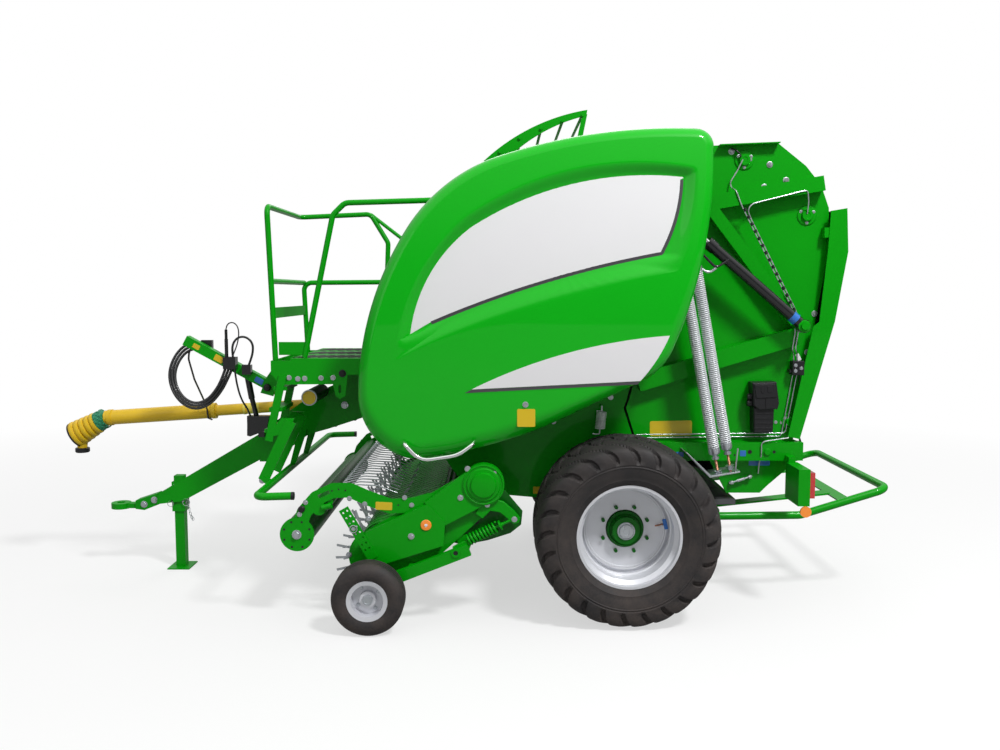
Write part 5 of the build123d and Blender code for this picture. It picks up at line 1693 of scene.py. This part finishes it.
@dataclass
class PickupTrim:
    """Bolts, reflectors, domed drive covers, springs and blank plates of the pickup."""

    guard_face: float = 1.0985
    guard_axis: Flat = (-0.893, 0.512)
    reflector: Flat = (-0.149, 0.579)
    drive: Flat = (0.177, 0.810)
    gauge_pin: Flat = (0.020, 0.429)
    arm_y: float = 1.128
    lever_face: float = 1.120

    def build(self, paint: Paintbox) -> None:
        """Builds them on the pickup and the crop guard."""
        zinc = bolts([(-0.485, 0.600), (-0.599, 0.390)], 1.085, 0.011)
        zinc += bolts([(-0.234, 0.514)], 1.145, 0.012)
        zinc += bolts([(0.046, 0.735), (0.087, 0.900), (0.240, 0.880)], 1.137, 0.011)
        circle = side_circle(28)
        for side in BOTH:
            zinc.append(tube(np.array([-0.560, side * 1.157, 0.558]) + 0.021 * circle, 0.003, 8, closed=True))
            zinc.append(bolt((-0.560, side * 1.153, 0.558), (0, side, 0), 0.008))
        paint.add("pickup_bolts", zinc, Look.ZINC, "pickup")
        guard = bolts(
            [
                (-0.840, 0.699), (-0.876, 0.629), (-0.589, 0.721), (-0.502, 0.690), (-0.274, 0.727),
                (-0.234, 0.683),
            ],
            1.098, 0.0095,
        )
        guard += bolts([self.guard_axis], 1.100, 0.018)
        paint.add("crop_guard_bolts", guard, Look.ZINC, "crop_guard")
        hub = [(0.020, 1.094), (0.034, 1.094), (0.034, 1.099), (0.028, 1.1005), (0.020, 1.1005)]
        hubs = paired(hub, *self.guard_axis, 32)
        stubs = [tube([(-0.745, s * 1.099, 0.668), (-0.690, s * 1.103, 0.682)], 0.017, 16) for s in BOTH]
        paint.add("crop_guard_hubs", hubs + stubs, Look.GREEN, "crop_guard")
        axis_x, axis_z = self.guard_axis
        circle = [(axis_x + 0.078 * math.cos(a), axis_z + 0.078 * math.sin(a)) for a in full_turn(8) + 0.4]
        holes = [bore_shade_disc(x, z, 0.0065, side * self.guard_face, side) for side in BOTH for x, z in circle]
        holes += [
            bore_shade_disc(x, z, 0.005, s * self.guard_face, s) for s in BOTH
            for x, z in ((-0.688, 0.766), (-0.650, 0.774), (-0.611, 0.769), (-0.311, 0.684))
        ]
        plug = [(0.020, -0.001), (0.020, 0.007), (0.014, 0.014), (0.003, 0.016)]
        holes += [stood(plug, (-0.863, s * 1.098, 0.660), (0, s, 0), 16) for s in BOTH]
        paint.add("crop_guard_holes", holes, Look.PLASTIC, "crop_guard")
        plates = [blank(-0.393, 0.678, 0.095, 0.046, self.guard_face, side, 0.05 * side) for side in BOTH]
        paint.add("crop_guard_plates", plates, Look.BLANK_YELLOW, "crop_guard")
        lens = [(0.031, 1.1452), (0.031, 1.149), (0.028, 1.152), (0.012, 1.1535), (0.010, 1.152)]
        lenses = paired(lens, *self.reflector, 40)
        paint.add("pickup_reflectors", lenses, Look.AMBER, "pickup")
        caps = paired([(0.009, 1.150), (0.009, 1.1545), (0.004, 1.156)], *self.reflector, 16)
        paint.add("reflector_caps", caps, Look.WHITE, "pickup")
        self._drive(paint)

    def _drive(self, paint: Paintbox) -> None:
        """Domed cover on the upper drive, the gauge arm's end and its spring."""
        dome = [
            (0.096, 1.1445), (0.0955, 1.150), (0.091, 1.1545), (0.080, 1.1555), (0.0735, 1.1565),
            (0.0728, 1.163), (0.069, 1.1685), (0.060, 1.1705), (0.004, 1.1715),
        ]
        green = paired(dome, *self.drive, 64)
        rim = [(0.113, 1.1450), (0.1125, 1.1485), (0.109, 1.1495), (0.106, 1.1475), (0.106, 1.1450)]
        green += paired(rim, *self.drive, 72, loop=True)
        collar = [(0.014, 1.186), (0.014, 1.193), (0.026, 1.193), (0.027, 1.1865)]
        seat = [(0.030, 0.0), (0.030, 0.008), (0.012, 0.010), (0.010, 0.022)]
        foot = [(0.015, 0.395), (0.095, 0.435), (0.110, 0.475), (0.075, 0.490), (0.000, 0.450)]
        lever = [
            (0.130, 0.640), (0.168, 0.706), (0.215, 0.728), (0.290, 0.707), (0.350, 0.656), (0.386, 0.612),
            (0.378, 0.586), (0.346, 0.578), (0.312, 0.612), (0.270, 0.646), (0.215, 0.655), (0.170, 0.610),
        ]
        springs, dark, zinc_ends = [], [], []
        pin_x, pin_z = self.gauge_pin
        for side in BOTH:
            green.append(turned([(r, side * y) for r, y in collar], (pin_x, 0, pin_z), 1, 32, loop=True))
            dark.append(bore_shade_disc(pin_x, pin_z, 0.0145, side * 1.1873, side))
            low, high = np.array([0.068, side * self.arm_y, 0.478]), np.array(
                [0.300, side * self.arm_y, 0.588]
            )
            springs.append(
                coil_spring(low + 0.10 * (high - low), low + 0.80 * (high - low), 0.029, 0.0065, 9)
            )
            green.append(tube([low, high + 0.12 * (high - low)], 0.0085, 12))
            green.append(stood(seat, low + 0.86 * (high - low), high - low, 20))
            green.append(plate(foot, *outward(side, self.lever_face, 1.147), 0.002))
            green.append(plate(lever, *outward(side, 1.096, self.lever_face), 0.002))
            for x, z, size in ((0.352, 0.606, 0.011), (0.198, 0.690, 0.010)):
                zinc_ends.append(bolt((x, side * self.lever_face, z), (0, side, 0), size))
        skirt = [
            (-0.060, 0.470), (0.060, 0.440), (0.200, 0.468), (0.330, 0.510), (0.392, 0.560), (0.400, 0.640),
            (0.300, 0.760), (0.100, 0.740),
        ]
        skirts = [plate(skirt, *outward(s, 1.052, 1.060), 0.002) for s in BOTH]
        # skirts in the darkened green: painted shade on the side sheet
        paint.add("pickup_skirts", skirts, Look.GREEN_SHADED, "pickup")
        skirt_bore_shades = [
            bore_shade_disc(x, z, 0.013, s * 1.0605, s) for s in BOTH
            for x, z in ((0.060, 0.560), (0.135, 0.575), (0.335, 0.610))
        ]
        paint.add("skirt_bores", skirt_bore_shades, Look.PLASTIC, "pickup")
        paint.add("drive_domes", green, Look.GREEN, "pickup", sharp=32.0)
        paint.add("arm_springs", springs, Look.GREEN, "pickup", sharp=60.0)
        paint.add("lever_bolts", zinc_ends, Look.ZINC, "pickup")
        paint.add("arm_bores", dark, Look.PLASTIC, "pickup")


def bore_shade_disc(x: float, z: float, radius: float, y: float, side: int) -> Surface:
    """A thin dark disc, slightly dished: painted shade that reads as a bore in a face across Y."""
    profile = [(radius, -0.0008), (radius, 0.0006), (radius * 0.8, 0.0002), (radius * 0.2, 0.0002)]
    return stood(profile, (x, y, z), (0, side, 0), 16)


# ---------------------------------------------------------------- tailgate springs
@dataclass
class TailgateSprings:
    """The long tension springs on both sides, with plugs, threaded rods, nuts, levers and straps."""

    middle: float = 0.850
    coil_radius: float = 0.0300
    wire: float = 0.0043
    pitch: float = 0.0115
    end_gap: float = 0.02
    thread_end: float = 0.134
    ridges: int = 58
    lines: tuple[tuple[Flat, Flat], ...] = (
        ((1.620, 0.959), (1.412, 2.060)), ((1.549, 0.929), (1.334, 2.060)),
    )

    @staticmethod
    def plug(place: np.ndarray, way: np.ndarray) -> Surface:
        """The turned plug and nut at a spring's end, standing out along a direction."""
        profile = [
            (0.022, -0.030), (0.0335, -0.028), (0.0345, 0.004), (0.031, 0.012), (0.020, 0.020),
            (0.014, 0.022), (0.014, 0.030), (0.0215, 0.0305), (0.0215, 0.045), (0.012, 0.0455),
        ]
        return stood(profile, place, way, 24)

    def build(self, paint: Paintbox) -> None:
        """Builds the springs in place of their plain solids."""
        coils, shade_cores, plugs, rods, arms = [], [], [], [], []
        for side, _ in SIDES:
            for low, high in self.lines:
                foot = np.array([low[0], side * self.middle, low[1]])
                head = np.array([high[0], side * self.middle, high[1]])
                way = unit(head - foot)
                low_end, high_end = foot + way * self.end_gap, head - way * self.end_gap
                turns = float(np.linalg.norm(high_end - low_end)) / self.pitch
                coils.append(coil_spring(low_end, high_end, self.coil_radius, self.wire, turns, 5))
                # a dark tube inside each coil: painted shade of the spring's hollow
                shade_cores.append(tube([foot + way * 0.021, head - way * 0.021], self.coil_radius - 0.008, 12))
                plugs += [self.plug(low_end, -way), self.plug(high_end, way)]
                along = np.linspace(self.end_gap, self.thread_end, self.ridges)
                thread = np.where(np.arange(self.ridges) % 2 == 0, 0.0088, 0.0076)
                rods.append(tube(foot - np.outer(along, way), thread, 10))
                plugs += [bolt(foot - way * nut, -way, 0.0165) for nut in (0.092, 0.106)]
            strap = [
                (1.368, 0.950), (1.376, 0.950), (1.520, 0.812), (1.690, 0.840), (1.690, 0.832),
                (1.512, 0.800),
            ]
            arms.append(plate(strap, *outward(side, 0.715, 0.895), 0.001))
            arms.append(box((1.310, 1.445), outward(side, 0.640, 0.890), (2.090, 2.112), 0.002))
        white = paint.add("spring_coils", coils, Look.SPRING, "tailgate", sharp=60.0)
        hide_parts("tension_springs")
        paint.add("spring_shade_cores", shade_cores, Look.SHADE, "tailgate")
        paint.add("spring_plugs", plugs, Look.ZINC, "tailgate")
        paint.add("spring_rods", rods, Look.COPPER, "tailgate", sharp=20.0)
        paint.add("spring_straps", arms, Look.ZINC, "tailgate")


# ---------------------------------------------------------------- tailgate
@dataclass
class TailgateTrim:
    """Pipes, bearings, bolts, oil box, cylinder details and blank plates of the tailgate."""

    plate_y: float = 0.640
    rib_y: float = 0.715
    back: float = -0.6405
    cylinder_y: float = 0.800
    gate_pin: Flat = (2.067, 1.694)
    front_pin: Flat = (1.330, 2.325)
    rollers: tuple[Flat, ...] = ((1.737, 2.684), (2.122, 2.355), (2.060, 1.100))

    def build(self, paint: Paintbox) -> None:
        """Builds them on the tailgate."""
        zinc = bolts(
            [
                (1.891, 2.658), (1.992, 2.565), (1.861, 2.525), (1.771, 2.686), (1.660, 2.735),
                (2.188, 1.763), (2.150, 1.527),
            ],
            self.plate_y, 0.0125,
        )
        zinc += bolts([(1.968, 1.096), (2.005, 1.094)], self.plate_y, 0.007)
        zinc += [
            tube([(1.672, s * 0.900, 0.977), (1.661, s * 0.900, 0.865), (1.661, s * 0.890, 0.838)], 0.005, 8)
            for s in BOTH
        ]
        zinc += self._turnbuckles()
        paint.add("tailgate_bolts", zinc, Look.ZINC, "tailgate")
        self._pipes(paint)
        self._bearings(paint)
        self._oil_box(paint)
        self._cylinders(paint)
        self._plates(paint)

    @staticmethod
    def _turnbuckles() -> list[Surface]:
        """A screw link low on each side plate."""
        links = []
        for s in BOTH:
            low, high = np.array([1.693, s * 0.662, 0.722]), np.array([1.817, s * 0.662, 0.762])
            share = np.array([0.0, 0.12, 0.13, 0.32, 0.33, 0.67, 0.68, 0.87, 0.88, 1.0])
            width = np.array([0.013, 0.013, 0.006, 0.006, 0.010, 0.010, 0.006, 0.006, 0.013, 0.013])
            links.append(tube(low + np.outer(share, high - low), width, 12))
            links += [
                tube([(p[0], s * 0.6405, p[2]), (p[0], s * 0.662, p[2])], 0.009, 10) for p in (low, high)
            ]
        return links

    def _pipes(self, paint: Paintbox) -> None:
        """Grease pipes from the bearings down the brace to the block, and a branch along the lower rail."""
        out = self.rib_y + 0.006
        first = [
            (1.722, 0.668, 2.684), (1.690, 0.662, 2.615), (1.651, 0.660, 2.552), (1.655, 0.664, 2.520),
            (1.672, out, 2.497), (1.710, out, 2.401), (2.036, out, 1.773), (2.047, out, 1.658),
            (2.032, out, 1.551), (2.055, 0.675, 1.520), (2.060, 0.668, 1.465),
        ]
        second = [
            (2.118, 0.662, 2.364), (2.116, 0.690, 2.430), (2.098, out, 2.498), (2.060, out, 2.490),
            (1.770, out, 2.418), (1.745, out, 2.385), (1.756, out, 2.345), (2.054, out, 1.770),
            (2.066, out, 1.660), (2.050, out, 1.555), (2.078, 0.675, 1.518), (2.080, 0.668, 1.465),
        ]
        branch = [
            (2.026, 0.720, 1.012), (1.875, 0.724, 0.990), (1.860, 0.724, 0.975), (1.862, 0.724, 0.900),
            (1.864, 0.668, 0.850), (1.862, 0.660, 0.780),
        ]
        pipes = [
            tube(rounded([(x, -y, z) for x, y, z in route], 0.022, 6), 0.0042, 8)
            for route in (first, second, branch)
        ]
        paint.add("pipe_runs", pipes, Look.ZINC, "tailgate")
        clips = []
        start, end = np.array(first[5]), np.array(first[6])
        way = unit(end - start)
        for share in np.linspace(0.03, 0.97, 15):
            middle = (start + share * (end - start)) * (1, -1, 1) + (0.008, 0.001, 0.0)
            clips.append(
                tube([middle - way * (1, -1, 1) * 0.009, middle + way * (1, -1, 1) * 0.009], 0.0115, 8)
            )
        clips += [
            box((2.044, 2.114), (-0.703, self.back), (1.392, 1.478), 0.003),
            box((2.030, 2.046), (-0.690, self.back), (1.405, 1.425), 0.002),
        ]
        sleeve = rounded(
            [
                (2.102, -0.665, 1.395), (2.104, -0.668, 1.18), (2.100, -0.668, 1.02), (2.130, -0.668, 0.940),
                (2.110, -0.660, 0.905),
            ],
            0.04,
        )
        clips.append(tube(sleeve, 0.0062, 10))
        feed = rounded([(1.655, -0.655, 2.752), (1.690, -0.668, 2.735), (1.712, -0.668, 2.700)], 0.02)
        clips.append(tube(feed, 0.005, 8))
        paint.add("pipe_clips", clips, Look.PLASTIC, "tailgate")
        ends = [
            bolt((x, -0.703, z), (0, -1, 0), 0.007)
            for x, z in ((2.062, 1.452), (2.062, 1.418), (2.096, 1.435))
        ]
        paint.add("block_fittings", ends, Look.ZINC, "tailgate")
        tag = plate(rounded_rectangle(2.087, 1.500, 0.022, 0.044, 0.003, 0.5), -0.672, -0.670, 0.0004)
        hook = tube([(2.080, -0.6715, 1.516), (2.078, -0.668, 1.530), (2.076, -0.6395, 1.532)], 0.0015, 6)
        paint.add("pipe_tag", [tag, hook], Look.WHITE, "tailgate")

    def _bearings(self, paint: Paintbox) -> None:
        """Bearing housings of the belt rollers on both sides."""
        housing = [
            (0.058, 0.6395), (0.058, 0.645), (0.054, 0.648), (0.036, 0.649), (0.034, 0.660), (0.031, 0.664),
            (0.018, 0.664), (0.016, 0.661), (0.004, 0.661),
        ]
        parts = [
            turned([(r, s * y) for r, y in housing], (x, 0, z), 1, 40) for s in BOTH for x, z in self.rollers
        ]
        paint.add("bearing_housings", parts, Look.GREEN, "tailgate", sharp=30.0)
        nuts = []
        for s in BOTH:
            for x, z in self.rollers:
                nuts += [
                    bolt((x + 0.044 * math.cos(a), s * 0.648, z + 0.044 * math.sin(a)), (0, s, 0), 0.0065)
                    for a in (0.5, 2.6, 4.7)
                ]
        paint.add("bearing_bolts", nuts, Look.ZINC, "tailgate")

    def _oil_box(self, paint: Paintbox) -> None:
        """The oil box on the left: a shallow tank below, a housing with a slotted lid and knobs above."""
        upper = [
            (1.790, 1.350), (1.935, 1.355), (1.955, 1.225), (1.945, 1.190), (1.838, 1.184), (1.800, 1.210),
        ]
        lower = [(1.804, 1.200), (1.930, 1.200), (1.925, 1.045), (1.810, 1.042)]
        lid = [(1.800, 1.340), (1.925, 1.345), (1.938, 1.262), (1.812, 1.256)]
        slot_a = rounded_rectangle(1.850, 1.312, 0.020, 0.046, 0.005, 0.1)
        slot_b = rounded_rectangle(1.893, 1.312, 0.028, 0.040, 0.005, 0.1)
        parts = [
            plate(upper, -0.752, self.back, 0.007), plate(lower, -0.735, self.back, 0.006),
            plate(lid, -0.7575, -0.751, 0.003), plate(slot_a, -0.7600, -0.757, 0.001),
            plate(slot_b, -0.7600, -0.757, 0.001),
            box((1.871, 1.875), (-0.7560, -0.7500), (1.190, 1.255), 0.001),
        ]
        for z in (1.07, 1.10, 1.13, 1.16):
            rib = [(1.812, z), (1.922, z), (1.922, z + 0.006), (1.812, z + 0.006)]
            parts.append(plate(rib, -0.7385, -0.734, 0.001))
        knob = [(0.020, -0.030), (0.020, -0.004), (0.018, 0.0), (0.004, 0.001)]
        parts += [stood(knob, (1.772, -0.700, z), (-1, 0, 0), 24) for z in (1.262, 1.222)]
        piece = paint.add("oil_housing", parts, Look.PLASTIC, "tailgate", sharp=30.0)
        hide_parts("oiler_box")

    def _cylinders(self, paint: Paintbox) -> None:
        """Side pipe, hose end, gland and bands of each lift cylinder."""
        for side, tag in SIDES:
            low = np.array([self.gate_pin[0], side * self.cylinder_y, self.gate_pin[1]])
            high = np.array([self.front_pin[0], side * self.cylinder_y, self.front_pin[1]])
            way = unit(high - low)
            body = f"barrel_{tag}"
            off = np.array([0.0, side * 0.034, 0.0])
            start = low + way * 0.835 + off
            end = low + way * 0.62 + off + (-0.062, side * 0.010, -0.062)
            pipe = rounded(
                [start, start + (-0.045, side * 0.008, -0.055), end, low + way * 0.60 + off], 0.025,
            )
            paint.add(f"cylinder_pipe_{tag}", [tube(pipe, 0.0075, 12)], Look.BLACK, body)
            hose = rounded(
                [end, end + (-0.04, 0, -0.03), end + (-0.10, 0, 0.005), end + (-0.17, -side * 0.01, 0.02)],
                0.03,
            )
            share = np.linspace(0, 1, len(hose))
            fitting = np.where(share < 0.45, 0.0085, 0.0065)
            paint.add(f"cylinder_fitting_{tag}", [tube(hose, fitting, 12)], Look.ZINC, body)
            band = tube([low + way * 0.055, low + way * 0.095], 0.0346, 32)
            paint.add(f"cylinder_band_{tag}", [band], Look.BLANK_BLUE, body)
            gland = [(0.030, -0.03), (0.0375, -0.028), (0.0375, 0.012), (0.034, 0.016), (0.024, 0.018)]
            paint.add(f"cylinder_gland_{tag}", [stood(gland, low + way * 0.845, way, 32)], Look.BLACK, body)
            nut = [bolt(low + (0, side * 0.028, 0), (0, side, 0), 0.024)]
            paint.add(f"gate_pin_nut_{tag}", nut, Look.GREEN, "tailgate")

    def _plates(self, paint: Paintbox) -> None:
        """Blank plates, and the bores and bosses of the lower rail."""
        yellow = [blank(1.323, 1.058, 0.259, 0.093, self.plate_y + 0.0002, tilt=0.02)]
        paint.add("gate_plate_yellow", yellow, Look.BLANK_YELLOW, "tailgate")
        blue = [
            blank(1.751, 0.915, 0.036, 0.036, self.rib_y + 0.0002),
            blank(1.873, 0.844, 0.130, 0.036, self.plate_y + 0.0002),
            blank(1.366, 0.909, 0.046, 0.030, self.rib_y + 0.0002),
        ]
        paint.add("gate_plates_blue", blue, Look.BLANK_BLUE, "tailgate")
        rail = [(1.793, 0.924, 0.0130), (1.941, 0.924, 0.0100), (1.700, 0.905, 0.006)]
        bores = [bore_shade_disc(x, z, r, s * (self.rib_y + 0.0003), s) for s in BOTH for x, z, r in rail]
        paint.add("rail_bores", bores, Look.PLASTIC, "tailgate")
        boss = [
            (0.021, self.rib_y - 0.001), (0.021, self.rib_y + 0.008), (0.018, self.rib_y + 0.011),
            (0.008, self.rib_y + 0.011),
        ]
        bosses = paired(boss, 1.899, 0.924, 24)
        paint.add("rail_bosses", bosses, Look.GREEN, "tailgate")


@dataclass
class ChassisTrim:
    """Small parts on the chassis's side plates: catch springs, brackets, bolts and blank plates."""

    plate_y: float = 0.639
    spring_y: float = 0.690

    def build(self, paint: Paintbox) -> None:
        """Builds them on the chassis."""
        springs, zinc, brackets = [], [], []
        bracket = [
            (0.900, 1.300), (0.905, 1.378), (0.935, 1.392), (1.020, 1.386), (1.025, 1.330), (0.990, 1.305),
        ]
        for s in BOTH:
            ends = (0.880, s * self.spring_y, 1.065), (0.890, s * self.spring_y, 1.170)
            springs.append(coil_spring(*ends, 0.028, 0.0045, 11))
            y = s * self.spring_y
            hook = rounded([(0.880, y, 1.075), (0.879, y, 1.030), (0.850, y, 1.028), (0.835, y, 1.034)], 0.01)
            zinc.append(tube(hook, 0.005, 8))
            zinc.append(
                tube([(0.890, y, 1.165), (0.891, y, 1.200), (0.891, s * self.plate_y, 1.205)], 0.006, 8)
            )
            zinc.append(bolt((1.005, s * 0.740, 1.371), (0, s, 0), 0.011))
            brackets.append(plate(bracket, *outward(s, self.plate_y, 0.740), 0.004))
        paint.add("catch_springs", springs, Look.SPRING, "chassis", sharp=60.0)
        paint.add("catch_rods", zinc, Look.ZINC, "chassis")
        paint.add("catch_brackets", brackets, Look.GREEN, "chassis")
        zinc = bolts([(0.60, 1.30), (0.60, 1.10), (0.30, 1.00), (0.95, 1.25)], 0.640, 0.011)
        paint.add("chassis_bolts", zinc, Look.ZINC, "chassis")
        yellow = [
            blank(x, z, 0.050, 0.045, self.plate_y + 0.0012) for x, z in ((0.500, 0.671), (0.250, 0.660))
        ]
        paint.add("chassis_plates", yellow, Look.BLANK_YELLOW, "chassis")
        roof = [(0.300, 2.560), (0.372, 2.620), (0.455, 2.680), (0.540, 2.722), (0.632, 2.760)]
        zinc = [bolt((x, -0.5585, z), (0, -1, 0), 0.0085) for x, z in roof]
        paint.add("roof_bolts", zinc, Look.ZINC, "chassis")


def main() -> None:
    """Builds the studio, dresses the frame and adds every piece."""
    logging.basicConfig(level=logging.INFO, format="%(name)s %(message)s")
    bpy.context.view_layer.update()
    paint = Paintbox()
    Studio().build()
    FrameParts().build(paint)
    for hose in (*loop_hoses(), *HOSES):
        hose.build(paint)
    for side, tag in SIDES:
        SideCover(side, tag).build(paint)
        FlotationTyre(side, tag).build(paint)
        RibbedTyre(tag).build(paint)
        WheelTrim(side, tag).build(paint)
    for group in (TailgateSprings(), DriveShaft(), FrontEnd(), PickupTrim(), TailgateTrim(), ChassisTrim()):
        group.build(paint)
    bpy.context.scene.view_settings.view_transform = "Standard"


if __name__ == "__main__":
    main()
